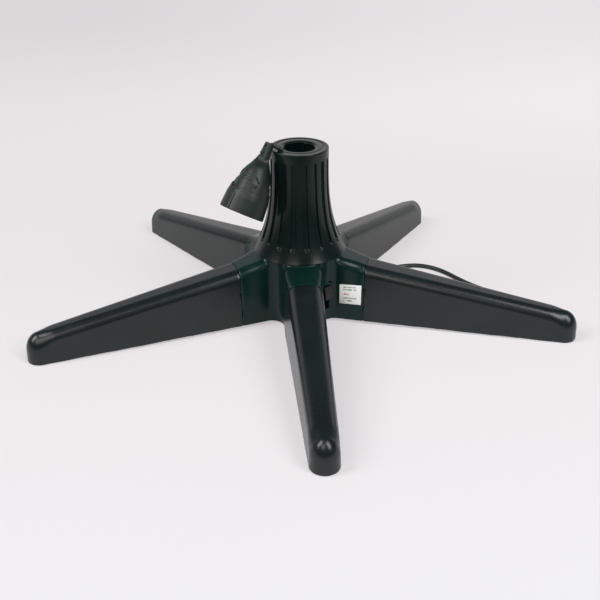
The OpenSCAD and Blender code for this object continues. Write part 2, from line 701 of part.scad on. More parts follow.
module collar_shell() color([0.06, 0.10, 0.09]) difference() {
    union() {
        difference() {
            // outside, with a rounded top edge
            intersection() {
                collar_form(0, 0, collar_h);
                union() {
                    translate([0, 0, collar_z]) cylinder(r = collar_base_r + 5, h = collar_h - collar_edge_r);
                    translate([0, 0, collar_top_z - collar_edge_r])
                        cylinder(r = collar_neck_r - collar_edge_r, h = collar_edge_r);
                    translate([0, 0, collar_top_z - collar_edge_r]) rotate_extrude()
                        translate([collar_neck_r - collar_edge_r, 0]) circle(collar_edge_r, $fn = 48);
                }
            }
            collar_form(-collar_wall, -1, collar_h - flange_t - 2);
            translate([0, 0, collar_z - 1])
                cylinder(r = race_r + race_w / 2 + ease, h = seat_z - collar_z + 1);
            flutes();
        }
        // shelf on the upper race, with ribs up to the wall
        intersection() {
            collar_form(-collar_wall / 2, seat_z - collar_z, collar_h / 3);
            union() {
                translate([0, 0, seat_z]) cylinder(r = collar_base_r, h = 2.6);
                translate([0, 0, seat_z]) cylinder(r = sleeve_r + 2.4, h = collar_h / 4);
                for (k = [0:5]) rotate(60 * k + 30) translate([0, -1, seat_z])
                    cube([collar_base_r, 2, collar_h / 4]);
                for (k = [0:screw_ring_count - 1]) rotate(360 * k / screw_ring_count)
                    translate([screw_ring_r, 0, seat_z]) cylinder(r = 3.4, h = 10);
            }
        }
    }
    // bore round the sleeve, and the flange's seat
    translate([0, 0, collar_z - 1]) cylinder(r = sleeve_r + fit_gap, h = collar_h + 2);
    translate([0, 0, collar_top_z - flange_t]) cylinder(r = flange_r + fit_gap, h = flange_t + 1);
    translate([0, 0, collar_top_z - flange_t - 3]) cylinder(r = flange_r - 2, h = 4);
    lead_hole(lead_r + 0.4, seat_z - 1, collar_top_z);
    for (k = [0:screw_ring_count - 1]) rotate(360 * k / screw_ring_count)
        translate([screw_ring_r, 0, seat_z - 1]) cylinder(r = screw_r + ease, h = 9);
}

module pole_sleeve() color([0.07, 0.09, 0.09]) difference() {
    union() {
        translate([0, 0, foot_z]) cylinder(r = foot_r, h = foot_t);
        translate([0, 0, foot_z]) cylinder(r = sleeve_r, h = collar_top_z - foot_z);
        translate([0, 0, collar_top_z - flange_t]) cylinder(r = flange_r, h = flange_t);
    }
    translate([0, 0, seat_z]) cylinder(r = pole_r, h = collar_h + 10);
    translate([0, 0, collar_top_z - 1]) cylinder(r1 = pole_r, r2 = pole_r + 1.2, h = 1.2);
    translate([0, 0, foot_z - 1]) cylinder(r = spindle_r, h = foot_t + 2);
    lead_hole(lead_r + fit_gap, foot_z - 1, collar_top_z + 1);
    for (k = [0:screw_ring_count - 1]) rotate(360 * k / screw_ring_count)
        translate([screw_ring_r, 0, foot_z - 1]) cylinder(r = screw_r + fit_gap, h = foot_t + 2);
}

module collar_screws() color([0.62, 0.63, 0.64]) for (k = [0:screw_ring_count - 1])
    rotate(360 * k / screw_ring_count) translate([screw_ring_r, 0, foot_z]) {
        cylinder(r = screw_r, h = foot_t + 7);
        translate([0, 0, -screw_head_h]) difference() {
            cylinder(r = screw_head_r, h = screw_head_h);
            cross_recess(0);
        }
    }

/* ---- slip rings ---- */

module slip_ring_disc() color([0.55, 0.50, 0.30]) difference() {
    translate([0, 0, disc_z]) cylinder(r = ring_radii[2] + 1.9, h = disc_t);
    translate([0, 0, disc_z - 1]) cylinder(r = ring_radii[0] - 2.5, h = disc_t + 2);
    lead_hole(lead_r + fit_gap, disc_z + disc_t / 2, disc_z + disc_t + 1);
}

module slip_rings() color([0.80, 0.50, 0.30]) for (r = ring_radii) translate([0, 0, ring_z]) difference() {
    cylinder(r = r + ring_w / 2, h = ring_t);
    translate([0, 0, -1]) cylinder(r = r - ring_w / 2, h = ring_t + 2);
}

module brush_holder() color([0.20, 0.20, 0.22]) rotate(brush_a) difference() {
    translate([ring_radii[0] - 3, -4, holder_z])
        cube([ring_radii[2] - ring_radii[0] + 6, 8, deck_z - deck_t - holder_z]);
    for (r = ring_radii) translate([r, 0, holder_z + 1.5]) cylinder(r = brush_r + 0.1, h = 40);
}

module brushes() color([0.18, 0.18, 0.19]) rotate(brush_a) for (r = ring_radii)
    translate([r, 0, brush_tip_z - brush_l]) cylinder(r = brush_r, h = brush_l);

module brush_springs() color([0.70, 0.71, 0.73]) rotate(brush_a) for (r = ring_radii)
    translate([r, 0, holder_z + 1.5]) difference() {
        cylinder(r = brush_r - 0.1, h = brush_tip_z - brush_l - holder_z - 1.5);
        translate([0, 0, -1]) cylinder(r = brush_r - 0.7, h = 40);
    }

/* ---- switch ---- */

module switch_cap() color([0.05, 0.07, 0.07]) rotate(switch_a) {
    // wedge: nearly flush at its top, standing proud at its lower edge
    translate([0, cap_w / 2, 0]) rotate([90, 0, 0]) linear_extrude(cap_w) polygon([
        [valley_wall_r + 1.6, cap_top_z - cap_h], [valley_wall_r + 5, cap_top_z - cap_h],
        [valley_wall_r + 5, cap_top_z - cap_h + 3], [valley_wall_r + 3, cap_top_z],
        [valley_wall_r + 1.6, cap_top_z]]);
    translate([switch_body_r + 2, -slot_w / 2 + fit_gap, stem_z])
        cube([valley_wall_r + 2 - switch_body_r - 2, slot_w - 2 * fit_gap, stem_h]);
}

module switch_body() color([0.12, 0.12, 0.13]) rotate(switch_a) difference() {
    translate([switch_body_r, -7, slot_z - 3])
        cube([valley_wall_r - hub_wall - 0.4 - switch_body_r, 14, slot_top_z - slot_z + 6]);
    translate([switch_body_r + 1.5, -slot_w / 2, slot_z]) cube([20, slot_w, slot_top_z - slot_z]);
}

module terminal_block() color([0.85, 0.84, 0.80]) rotate(terminal_a) difference() {
    translate([block_s, -block_w / 2, plate_top_z]) cube([block_t, block_w, 2 * block_hole_z]);
    for (k = [-1, 0, 1]) {
        translate([block_s - 1, block_pitch * k, wire_z]) rotate([0, 90, 0])
            cylinder(r = wire_d / 2 + ease + 0.05, h = block_t + 2);
        translate([block_s + block_t / 2, block_pitch * k, wire_z]) cylinder(r = 1.6, h = 10);
    }
}

// Wires inside the hub: mains round the wall to the block, then a pair to the motor
module inner_wires() color([0.12, 0.12, 0.12]) {
    ring_r = valley_wall_r - hub_wall - 0.95 * wire_d;
    tube(smooth([
        along(cord_a + 9.7, ring_r + 0.53 * wire_d, relief_z + 0.1 * wire_d),
        for (k = [1:10]) along(cord_a + 3 + 17.5 * k, ring_r, wire_z),
        beside(terminal_a, ring_r, -4.2 * wire_d, wire_z),
        beside(terminal_a, ring_r, -2.3 * wire_d, wire_z),
        beside(terminal_a, ring_r - 0.14 * wire_d, -1.17 * wire_d, wire_z),
        beside(terminal_a, ring_r - 0.57 * wire_d, -0.36 * wire_d, wire_z),
        beside(terminal_a, block_end + 1.28 * wire_d, 0, wire_z),
        beside(terminal_a, block_end + 0.55 * wire_d, 0, wire_z),
        beside(terminal_a, block_end - 0.7 * wire_d, 0, wire_z)], 2), wire_d / 2, 8);
    tube(smooth([
        beside(terminal_a, block_end - 0.7 * wire_d, block_pitch, wire_z),
        beside(terminal_a, block_end + 0.5 * wire_d, block_pitch, wire_z),
        beside(terminal_a, block_end + 1.25 * wire_d, block_pitch + 0.15 * wire_d, wire_z),
        beside(terminal_a, ring_r - 0.7 * wire_d, block_pitch + 0.8 * wire_d, wire_z),
        along(terminal_a + 24, ring_r - 0.6 * wire_d, wire_z),
        along(terminal_a + 34, ring_r - 1.2 * wire_d, wire_z),
        by_motor(motor_touch_a - 23, 2.3 * wire_d), by_motor(motor_touch_a - 10, 0.55 * wire_d),
        by_motor(motor_touch_a, -0.4 * wire_d)], 2), lead_wire_r, 8);
}

module rating_label() color([0.93, 0.93, 0.91]) rotate(right_a)
    translate([49, -stub_w / 2 - 0.3, 23]) cube([23.5, 0.3, 23]);

/* ---- legs ---- */

// Outside of a leg drawn in by inset, in the direction +X
module leg_form(inset, low) hull() {
    translate([seam_r + (inset > 0 ? bulkhead_t : 0), 0, 0]) intersection() {
        section_slab(leg_root_w - 2 * inset, -20, leg_root_h - inset, leg_edge_r - inset, 0.2, $fn = 48);
        rotate([90, 0, 90]) linear_extrude(0.2) polygon([
            [-leg_root_w / 2 + inset, low - 0.001], [leg_root_w / 2 - inset, low - 0.001],
            [leg_root_w / 2 - leg_draft * leg_root_h - inset, leg_root_h],
            [-leg_root_w / 2 + leg_draft * leg_root_h + inset, leg_root_h]]);
    }
    tip_top_r = leg_tip_w / 2 - leg_draft * leg_tip_h;
    translate([tip_s, 0, 0]) rotate_extrude($fn = 64) polygon(concat(
        [[0, low - floor_gap + leg_tip_gap], [leg_tip_w / 2 - inset, low - floor_gap + leg_tip_gap]],
        [for (k = [0:8]) let (a = 90 * k / 8, r = leg_tip_edge_r)
            [tip_top_r - r + (r - inset) * cos(a), leg_tip_h - r + (r - inset) * sin(a)]],
        [[0, leg_tip_h - inset]]));
}

module leg() color([0.13, 0.16, 0.16]) {
    difference() {
        union() {
            difference() {
                leg_form(0, floor_gap);
                leg_form(leg_wall, -20);
            }
            // cross ribs under the top, and the boss that holds the foot pad
            intersection() {
                leg_form(leg_wall / 2, floor_gap + 6);
                union() {
                    for (s = [seam_r + 50:50:tip_s - 40]) translate([s, -leg_root_w, 0])
                        cube([2, 2 * leg_root_w, leg_root_h]);
                    translate([tip_s, 0, pad_t]) cylinder(r = pad_stem_r + 2.5, h = leg_root_h);
                }
            }
            translate([tip_s, 0, pad_t]) cylinder(r = pad_stem_r + 2.5, h = 12);
        }
        translate([tip_s, 0, 0]) cylinder(r = pad_stem_r + ease, h = pad_t + pad_stem_l + 1);
    }
    // hollow tongue on the leg's end wall
    difference() {
        translate([seam_r - tongue_l, -tongue_w / 2, tongue_z]) cube([tongue_l + 0.1, tongue_w, tongue_h]);
        translate([seam_r - tongue_l - 1, -tongue_w / 2 + tongue_wall, tongue_z + tongue_wall])
            cube([tongue_l - 1, tongue_w - 2 * tongue_wall, tongue_h - 2 * tongue_wall]);
    }
}

module pad() color([0.10, 0.10, 0.10]) translate([tip_s, 0, 0]) difference() {
    union() {
        cylinder(r = pad_r, h = pad_t);
        cylinder(r = pad_stem_r, h = pad_t + pad_stem_l);
    }
    translate([0, 0, -1]) difference() {
        cylinder(r = pad_r - 2, h = 1.6);
        cylinder(r = pad_r - 4, h = 1.6);
    }
}

/* ---- trailing socket ---- */

module at_outlet() translate(outlet_at) rotate(outlet_tilt) children();

// Outline from the neck down: distance from the neck's top, and radius
outlet_profile = [
    [0, lead_r + 0.9], [0.8, lead_r + 1.7], [5, lead_r + 2.6], [outlet_neck_l, lead_r + 4.2],
    [outlet_neck_l + 3, outlet_r - 16], [outlet_neck_l + 8.5, outlet_r - 14.1],
    [outlet_neck_l + 13.5, outlet_r - 11.4], [outlet_l - 42, outlet_r - 9.15],
    [outlet_l - 32.5, outlet_r - 5.05], [outlet_l - 26, outlet_r - 3.85],
    [outlet_l - 20, outlet_r - 2.05], [outlet_l - 16, outlet_r - 1.05], [outlet_l, outlet_r]];

module outlet_form(grow) rotate_extrude() polygon(concat([[0, 0]],
    [for (p = outlet_profile) [p[1] + grow, -p[0]]], [[0, -outlet_l]]));

// Six-sided sunk grip panel, on the side that the angle names
module grip_panel(a) intersection() {
    difference() {
        translate([0, 0, -outlet_l]) cylinder(r = outlet_r + 3, h = outlet_l);
        outlet_form(-0.8);
    }
    rotate(a) translate([0, 0, -outlet_l + 31]) rotate([0, 90, 0])
        linear_extrude(40) polygon([[11.5, -6], [4.4, -10], [-7.6, -8], [-11.5, -4], [-11.5, 4], [-7.6, 8],
            [4.4, 10], [11.5, 6]]);
}

module outlet_body() color([0.20, 0.24, 0.24]) at_outlet() difference() {
    union() {
        difference() {
            outlet_form(0);
            for (a = [outlet_view_a, outlet_view_a - 180]) grip_panel(a);
        }
        // thin rib along the cup
        for (a = [outlet_view_a - 35, outlet_view_a + 145]) intersection() {
            outlet_form(0.7);
            rotate(a) translate([outlet_r - 6, -1.5, -outlet_l + 0.8]) cube([10, 3, 16]);
        }
        // grip ribs across each panel
        for (a = [outlet_view_a, outlet_view_a - 180]) intersection() {
            outlet_form(-0.15);
            rotate(a) for (k = [-3:3]) translate([10, -6.5, -outlet_l + 31 + 2.9 * k - 0.5]) cube([30, 13, 1]);
        }
    }
    // recess for a plug, and the seat of the insert behind it
    translate([0, 0, -outlet_l - 1]) cylinder(r = recess_r, h = recess_d + 1);
    translate([0, 0, -outlet_l + 2]) cylinder(r = insert_r + ease, h = recess_d + insert_t - 2);
    translate([0, 0, -outlet_l + 3]) cylinder(r = insert_core_r + ease, h = recess_d + insert_l - 3);
    // bend slots across the neck
    for (d = [4.2, 14.4], a = [outlet_view_a - 68, outlet_view_a + 112]) rotate(a)
        translate([lead_r + 0.3, -10, -d - 1.4]) cube([10, 20, 1.4]);
    // grooves for the earth clips
    for (a = [0, 180]) rotate(contact_a + 90 + a)
        translate([insert_r - 1, -clip_w / 2 - fit_gap, -outlet_l + 4])
            cube([recess_r + 0.4 - insert_r + 1, clip_w + 2 * fit_gap, recess_d]);
}

module outlet_insert() color([0.16, 0.19, 0.19]) at_outlet() difference() {
    translate([0, 0, -outlet_l + recess_d]) union() {
        cylinder(r = insert_r, h = insert_t);
        cylinder(r = insert_core_r, h = insert_l);
    }
    for (side = [-1, 1]) rotate(contact_a) translate([side * contact_pitch / 2, 0, -outlet_l + recess_d]) {
        translate([0, 0, -1]) cylinder(r = contact_r, h = 5);
        translate([0, 0, 3]) cylinder(r = contact_r + 0.9, h = insert_l);
    }
}

module outlet_contacts() color([0.80, 0.66, 0.36]) at_outlet() for (side = [-1, 1])
    rotate(contact_a) translate([side * contact_pitch / 2, 0, -outlet_l + recess_d + 3]) difference() {
        cylinder(r = contact_r + 0.9 - ease, h = insert_l - 4);
        translate([0, 0, -1]) cylinder(r = contact_r - 0.05, h = insert_l);
    }

module earth_clips() color([0.75, 0.76, 0.78]) at_outlet() for (a = [0, 180]) rotate(contact_a + 90 + a)
    translate([recess_r - 1.6, -clip_w / 2, -outlet_l + 4.4]) {
        cube([0.9, clip_w, recess_d - 0.4]);
        rotate([90, 0, 0]) translate([0.3, 4.5, -clip_w]) cylinder(r = 0.9, h = clip_w);
    }

// Lead from the sleeve's foot, up through the flange, over a low arch and into the neck
module outlet_lead() color([0.16, 0.20, 0.19]) {
    root = along(lead_a, lead_at_r, 0);
    tube(smooth([root + [0, 0, seat_z + 0.3], root + [0, 0, seat_z + 35], root + [0, 0, seat_z + 70],
        root + [0, 0, collar_top_z - 3], root + [-0.2, 0, collar_top_z + 1.2], root + [-2, 0, collar_top_z + 4.6],
        root + [-5.6, 0, collar_top_z + 6.6], root + [-9.4, -0.2, collar_top_z + 6.8],
        outlet_at + [-1.3, -1, -3], outlet_at + [-3.3, -2.5, -7]], 3), lead_r, 10, [0, 1, 0]);
}

/* ---- mains cord ---- */

module cord_relief() color([0.06, 0.07, 0.07]) rotate(cord_a) translate([0, 0, relief_z]) rotate([0, 90, 0])
    difference() {
        union() {
            translate([0, 0, relief_in_r]) cylinder(r = relief_flange_r, h = 2);
            translate([0, 0, relief_in_r]) cylinder(r = relief_hole_r, h = valley_wall_r - relief_in_r + 1);
            translate([0, 0, valley_wall_r + 0.1]) cylinder(r = relief_flange_r, h = 2);
            translate([0, 0, valley_wall_r + 2]) cylinder(r1 = 5.2, r2 = cord_d / 2 + 0.9, h = relief_l - 2);
        }
        for (k = [0:3]) translate([0, 0, valley_wall_r + 5.5 + 4 * k]) difference() {
            cylinder(r = 8, h = 1.4);
            translate([0, 0, -1]) cylinder(r = cord_d / 2 + 0.6, h = 4);
        }
    }

module cord_inner_run() color([0.07, 0.08, 0.08]) tube(smooth(inner_route, 1), cord_d / 2, 10);

module cord_coil() color([0.07, 0.08, 0.08]) tube(coil_points, cord_d / 2, 6);

module cord_outer_run() color([0.07, 0.08, 0.08]) tube(smooth(outer_route, 2), cord_d / 2, 10);

module at_plug() translate([plug_face.x, plug_face.y, plug_r]) rotate([0, 90, plug_a]) children();

module plug_body() color([0.07, 0.08, 0.08]) at_plug() difference() {
    rotate_extrude() polygon([[0, 0], [plug_r - 0.8, 0], [plug_r, 0.8], [plug_r, 9], [plug_r - 1.4, 11.5],
        [plug_r - 3.8, 13.5], [plug_r - 5, 20], [plug_r - 5.4, plug_l - 8], [plug_r - 7.5, plug_l - 2],
        [6.5, plug_l], [6, plug_l + 1], [cord_d / 2 + 1, plug_l + plug_neck_l], [0, plug_l + plug_neck_l]]);
    // side grooves for the earth clips of a wall socket
    for (side = [-1, 1]) translate([side > 0 ? plug_r - 2.2 : -plug_r - 8, -2.6, -1]) cube([10.2, 5.2, 10]);
    for (k = [0:2]) translate([0, 0, plug_l + 4 + 4 * k]) difference() {
        cylinder(r = 8, h = 1.4);
        translate([0, 0, -1]) cylinder(r = cord_d / 2 + 0.6, h = 4);
    }
}

module plug_pins() color([0.80, 0.80, 0.78]) at_plug() for (side = [-1, 1])
    translate([0, side * contact_pitch / 2, -pin_l]) {
        translate([0, 0, 1]) cylinder(r = pin_r, h = pin_l - 1);
        cylinder(r1 = pin_r - 0.9, r2 = pin_r, h = 1);
    }

hub_housing();
base_plate();
cover_screws();
spindle_bush();
lower_race();
race_balls();
ball_cage();
upper_race();
spindle();
drive_gear();
gear_clip();
pole_sleeve();
collar_shell();
collar_screws();
slip_ring_disc();
slip_rings();
brush_holder();
brushes();
brush_springs();
motor_can();
motor_screws();
motor_shaft();
motor_pinion();
switch_cap();
switch_body();
terminal_block();
inner_wires();
rating_label();
at_leg(0) leg();  // leg_front
at_leg(1) leg();  // leg_right
at_leg(2) leg();  // leg_rear_right
at_leg(3) leg();  // leg_rear_left
at_leg(4) leg();  // leg_left
at_leg(0) pad();  // pad_front
at_leg(1) pad();  // pad_right
at_leg(2) pad();  // pad_rear_right
at_leg(3) pad();  // pad_rear_left
at_leg(4) pad();  // pad_left
outlet_body();
outlet_insert();
outlet_contacts();
earth_clips();
outlet_lead();
cord_relief();
cord_inner_run();
cord_coil();
cord_outer_run();
plug_body();
plug_pins();
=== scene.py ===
# %% [markdown]
# # A rotating tree stand, dressed in Blender
# Five plug-in legs stand round a hub, and a small motor turns the fluted collar on it. A short lead feeds a
# trailing socket from the collar's top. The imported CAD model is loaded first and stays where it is: every
# piece made below rides on one of its bodies, in the same frame. Sizes of pieces are in millimetres, and
# become metres where a mesh or a curve is made.

# %% Load the frame
import json
import math

import bmesh
import bpy
import numpy as np
from mathutils import Matrix, Vector


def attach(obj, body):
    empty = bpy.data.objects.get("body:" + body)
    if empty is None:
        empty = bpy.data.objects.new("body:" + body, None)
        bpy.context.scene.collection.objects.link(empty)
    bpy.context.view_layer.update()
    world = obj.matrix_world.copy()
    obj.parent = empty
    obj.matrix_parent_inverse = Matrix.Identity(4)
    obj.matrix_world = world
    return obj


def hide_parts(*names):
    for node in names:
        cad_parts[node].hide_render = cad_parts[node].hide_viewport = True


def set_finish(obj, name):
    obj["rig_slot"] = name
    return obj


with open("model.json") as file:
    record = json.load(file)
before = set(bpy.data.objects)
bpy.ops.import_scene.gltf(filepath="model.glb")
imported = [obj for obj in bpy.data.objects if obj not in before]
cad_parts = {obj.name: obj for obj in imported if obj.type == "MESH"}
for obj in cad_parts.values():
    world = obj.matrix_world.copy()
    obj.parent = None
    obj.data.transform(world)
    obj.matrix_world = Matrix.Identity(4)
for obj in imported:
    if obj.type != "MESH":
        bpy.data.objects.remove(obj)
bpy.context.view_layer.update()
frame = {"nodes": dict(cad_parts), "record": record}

# %% [markdown]
# ## Camera
# The photograph was taken from the front, a little above the stand, with a short telephoto. Its place was
# found by matching the leg tips, the hub and the collar's top, so the same pixels land on the same edges.

# %% Camera
MM = 0.001
CAMERA_AT = (-63.2, -903.4, 489.7)
CAMERA_YAW, CAMERA_DOWN, CAMERA_ROLL = -3.989, 27.911, -0.377
CAMERA_LENS = 54.71


def new_object(name, data):
    """Object in the scene that holds a camera, lamp, curve or mesh."""
    made = bpy.data.objects.new(name, data)
    bpy.context.scene.collection.objects.link(made)
    return made


def rotation(angle, axis):
    """Matrix that turns by an angle in degrees."""
    return Matrix.Rotation(math.radians(angle), 4, axis)


lens = bpy.data.cameras.new("camera")
lens.lens = CAMERA_LENS
lens.sensor_width = 36
lens.clip_start, lens.clip_end = 0.05, 30
camera = new_object("camera", lens)
camera.matrix_world = (
    Matrix.Translation(Vector(CAMERA_AT) * MM)
    @ rotation(CAMERA_YAW, "Z") @ rotation(90 - CAMERA_DOWN, "X") @ rotation(CAMERA_ROLL, "Z"))
bpy.context.scene.camera = camera
print("camera at", [round(x, 3) for x in camera.location])

# %% [markdown]
# ## Mains cord
# A stand of this kind has about 1.35 m of thin mains cord. It leaves the hub behind the right leg, and the
# photograph shows one loose arc of it. The rest lies wound out of sight behind the hub. The route repeats
# the CAD route: points for the loose ends, a formula for the coil.

# %% Cord route
CORD_D = 5.4
VALLEY_WALL_R = 44.85
RELIEF_L, RELIEF_Z = 23.0, 10.0
CORD_A = 18.0
COIL_AT = (116.5, 26.5)
COIL_OUTER_R, COIL_PITCH = 35.9, 5.85
COIL_START_A, COIL_END_A = 148.0, 162.0
COIL_TURNS = 6 - (COIL_END_A - COIL_START_A) / 360
COIL_STEPS = 286
LYING_Z = CORD_D / 2
COIL_TOP_Z = LYING_Z + COIL_PITCH
PLUG_AT = (148.0, -7.5, 18.0)
PLUG_A = 333.5
PLUG_LENGTH = 54.0


def turned(angle):
    """Unit vector on the floor in the direction of an angle in degrees."""
    return np.array([math.cos(math.radians(angle)), math.sin(math.radians(angle)), 0.0])


def ease(x, low, high):
    """0 below low, 1 above high, smooth between."""
    share = np.clip((x - low) / (high - low), 0, 1)
    return share * share * (3 - 2 * share)


def coil_point(turn):
    """Point of the coil after some turns. It winds inwards on the upper layer and out again on the floor."""
    radius = COIL_OUTER_R - COIL_PITCH * min(turn, COIL_TURNS - turn)
    fallen = ease(turn, COIL_TURNS / 2 - 0.25, COIL_TURNS / 2 + 0.25)
    height = COIL_TOP_Z - (COIL_TOP_Z - LYING_Z) * fallen
    return np.array([*COIL_AT, height]) + radius * turned(COIL_START_A - 360 * turn)


def smooth_route(points, steps=4):
    """Even curve through points, with steps points for each stretch."""
    points = np.asarray(points, float)
    last = len(points) - 1
    route = []
    for i in range(last):
        a, b, c, d = (points[j] for j in (max(i - 1, 0), i, i + 1, min(i + 2, last)))
        for t in np.arange(steps) / steps:
            route.append(0.5 * (2 * b + (c - a) * t + (2 * a - 5 * b + 4 * c - d) * t**2
                                + (3 * b - a - 3 * c + d) * t**3))
    return np.array(route + [points[last]])


coil = np.array([coil_point(COIL_TURNS * i / COIL_STEPS) for i in range(COIL_STEPS + 1)])
coil_in = coil[0] - CORD_D * turned(COIL_START_A - 90)
coil_out = coil[-1] + CORD_D * turned(COIL_END_A - 90)
exit_at = (VALLEY_WALL_R + RELIEF_L) * turned(CORD_A) + [0, 0, RELIEF_Z]
inner = [exit_at, (69.4, 23.4, 9.9), (73.8, 26.8, 9.6), (77.3, 31.1, 9.2), (80, 36.1, 8.8), coil_in]
lying = [(86.8, 52.5), (90.3, 62), (96, 70.5), (103.5, 78), (112.5, 84.2), (122, 88.5), (132, 91),
         (142, 92.3), (152.5, 91.3), (164, 86.2), (174, 77.8), (182.5, 67), (191, 53), (200, 39.5),
         (209.5, 28), (219, 18), (226.5, 10.6)]
rising = [(233.3, 3.8, 2.9), (239, -5.6, 4.1), (240.2, -17, 6.6), (236.1, -27.5, 9.8),
          (227.7, -35.1, 13.2), (216.8, -38.3, 16.3)]
plug_neck = np.array(PLUG_AT) + PLUG_LENGTH * turned(PLUG_A)
outer = [coil_out, *((x, y, LYING_Z) for x, y in lying), *rising,
         plug_neck + 2 * CORD_D * turned(PLUG_A), plug_neck]
cord_route = np.vstack([smooth_route(inner)[:-1], coil_in, coil, smooth_route(outer)])
cord_length = np.linalg.norm(np.diff(cord_route, axis=0), axis=1).sum()
print("cord length", round(cord_length), "mm in", len(cord_route), "points")

# %% Cord
def tube_curve(name, points, diameter, sides=6):
    """Round curve of one open line through points; the radius that each point holds is its thickness."""
    line = bpy.data.curves.new(name, "CURVE")
    line.dimensions = "3D"
    line.bevel_depth = 1.0
    line.bevel_resolution = sides
    line.use_fill_caps = True
    spline = line.splines.new("POLY")
    spline.points.add(len(points) - 1)
    flat = np.column_stack([np.asarray(points) * MM, np.ones(len(points))])
    spline.points.foreach_set("co", flat.ravel())
    spline.points.foreach_set("radius", [diameter / 2 * MM] * len(points))
    spline.use_smooth = True
    return new_object(name, line)


cord = tube_curve("mains_cord", cord_route, CORD_D)
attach(cord, "hub")
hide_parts("cord_inner_run", "cord_coil", "cord_outer_run")
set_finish(cord, "cord_jacket")
print("cord points", len(cord_route))

# %% [markdown]
# ## Carving smooth mouldings
# Moulded shells are full of blended corners, which bevels on booleans spoil where they meet. So a moulding
# is described by a distance here: negative inside the plastic, positive outside. Each cell of a regular grid
# that the surface crosses gets one point, which then slides onto the true surface.

# %% Distance maths
def box2(x, y, half_x, half_y, corner=0.0):
    """Distance to a rectangle, with rounded corners."""
    over_x, over_y = np.abs(x) - half_x + corner, np.abs(y) - half_y + corner
    outside = np.hypot(np.maximum(over_x, 0), np.maximum(over_y, 0))
    return outside + np.minimum(np.maximum(over_x, over_y), 0) - corner


def both(a, b, radius=0.0):
    """Where both shapes are solid; radius rounds the edge that they form, and may vary over it."""
    if np.ndim(radius) == 0 and radius == 0:
        return np.maximum(a, b)
    return (np.minimum(-radius, np.maximum(a, b))
            + np.hypot(np.maximum(a + radius, 0), np.maximum(b + radius, 0)))


def either(a, b, radius=0.0):
    """Where one of two shapes is solid; radius fills the corner between them."""
    return -both(-a, -b, radius)


def less(a, b, radius=0.0):
    """Shape a with shape b cut out."""
    return both(a, -b, radius)


def span(x, low, high):
    """Distance to the slab between two planes."""
    return np.maximum(low - x, x - high)


print("a corner rounded by 2 lies at", round(float(both(0.0, 0.0, 2.0)), 3))

# %% Surface of a distance
CARVED_SHARP = 50


def smooth_piece(name, mesh, body, slot, sharp):
    """Piece on its body, with its slot. Edges that turn by more than sharp degrees stay sharp."""
    mesh.shade_smooth()
    mesh.set_sharp_from_angle(angle=math.radians(sharp))
    piece = new_object(name, mesh)
    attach(piece, body)
    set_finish(piece, slot)
    return piece


def add_piece(name, points, faces, body, slot, sharp):
    """Piece made from points in millimetres and faces."""
    mesh = bpy.data.meshes.new(name)
    mesh.from_pydata((np.asarray(points, float) * MM).tolist(), [], faces)
    mesh.update()
    return smooth_piece(name, mesh, body, slot, sharp)


def crossed_cells(field, cells):
    """Numbers the grid cells that the surface crosses, and adds up where it cuts each cell's edges."""
    solid = field < 0
    filled = sum(solid[i:i + cells[0], j:j + cells[1], k:k + cells[2]].astype(np.int8)
                 for i in (0, 1) for j in (0, 1) for k in (0, 1))
    crossed = np.argwhere((filled > 0) & (filled < 8))
    number = np.full(cells, -1)
    number[tuple(crossed.T)] = np.arange(len(crossed))
    total, hits = np.zeros((len(crossed), 3)), np.zeros(len(crossed))
    for axis in range(3):
        step = np.eye(3, dtype=int)[axis]
        for near in ((i, j) for i in (0, 1) for j in (0, 1)):
            start = crossed + np.insert(near, axis, 0)
            a, b = field[tuple(start.T)], field[tuple((start + step).T)]
            cut = (a < 0) != (b < 0)
            share = a[cut] / (a[cut] - b[cut])
            total[cut] += start[cut] + share[:, None] * step
            hits[cut] += 1
    return number, total, hits[:, None]


def slide(points, distance, limit, rounds=3, near=0.02):
    """Moves points down the slope of a distance onto its surface, by about limit at most in each round."""
    for _ in range(rounds):
        slope = np.stack([
            distance(*(points + near * unit).T) - distance(*(points - near * unit).T)
            for unit in np.eye(3)], axis=1) / (2 * near)
        move = distance(*points.T) / np.maximum((slope ** 2).sum(1), 0.25)
        points = points - np.clip(move, -limit, limit)[:, None] * slope
    return points


def crossed_faces(solid, number):
    """A face with four corners for each grid edge that the surface cuts, turned outwards."""
    faces = []
    for axis in range(3):
        one, two = (axis + 1) % 3, (axis + 2) % 3
        begin = np.take(solid, range(solid.shape[axis] - 1), axis)
        flips = np.argwhere(begin != np.take(solid, range(1, solid.shape[axis]), axis))
        flips = flips[(flips[:, one] > 0) & (flips[:, two] > 0)
                      & (flips[:, one] < number.shape[one]) & (flips[:, two] < number.shape[two])]
        ring = []
        for back_one, back_two in ((1, 1), (0, 1), (0, 0), (1, 0)):
            corner = flips.copy()
            corner[:, one] -= back_one
            corner[:, two] -= back_two
            ring.append(number[tuple(corner.T)])
        quads = np.stack(ring, axis=1)
        outward = begin[tuple(flips.T)]
        quads[~outward] = quads[~outward][:, ::-1]
        faces.append(quads)
    return np.vstack(faces)


def carve(distance, low, high, cell):
    """Points and faces of the surface where distance(x, y, z) is zero, between two corners of a grid."""
    low = np.asarray(low, float)
    counts = np.ceil((np.asarray(high, float) - low) / cell).astype(int) + 1
    axes = [low[k] + cell * np.arange(counts[k]) for k in range(3)]
    field = distance(*np.meshgrid(*axes, indexing="ij"))
    number, total, hits = crossed_cells(field, counts - 1)
    return slide(low + cell * total / hits, distance, cell / 2), crossed_faces(field < 0, number)


def carved_piece(name, distance, low, high, cell, body, slot, place=lambda points: points):
    """Piece carved from a distance; place moves its points."""
    points, faces = carve(distance, low, high, cell)
    print(name, len(faces), "faces")
    return add_piece(name, place(points), faces.tolist(), body, slot, CARVED_SHARP)


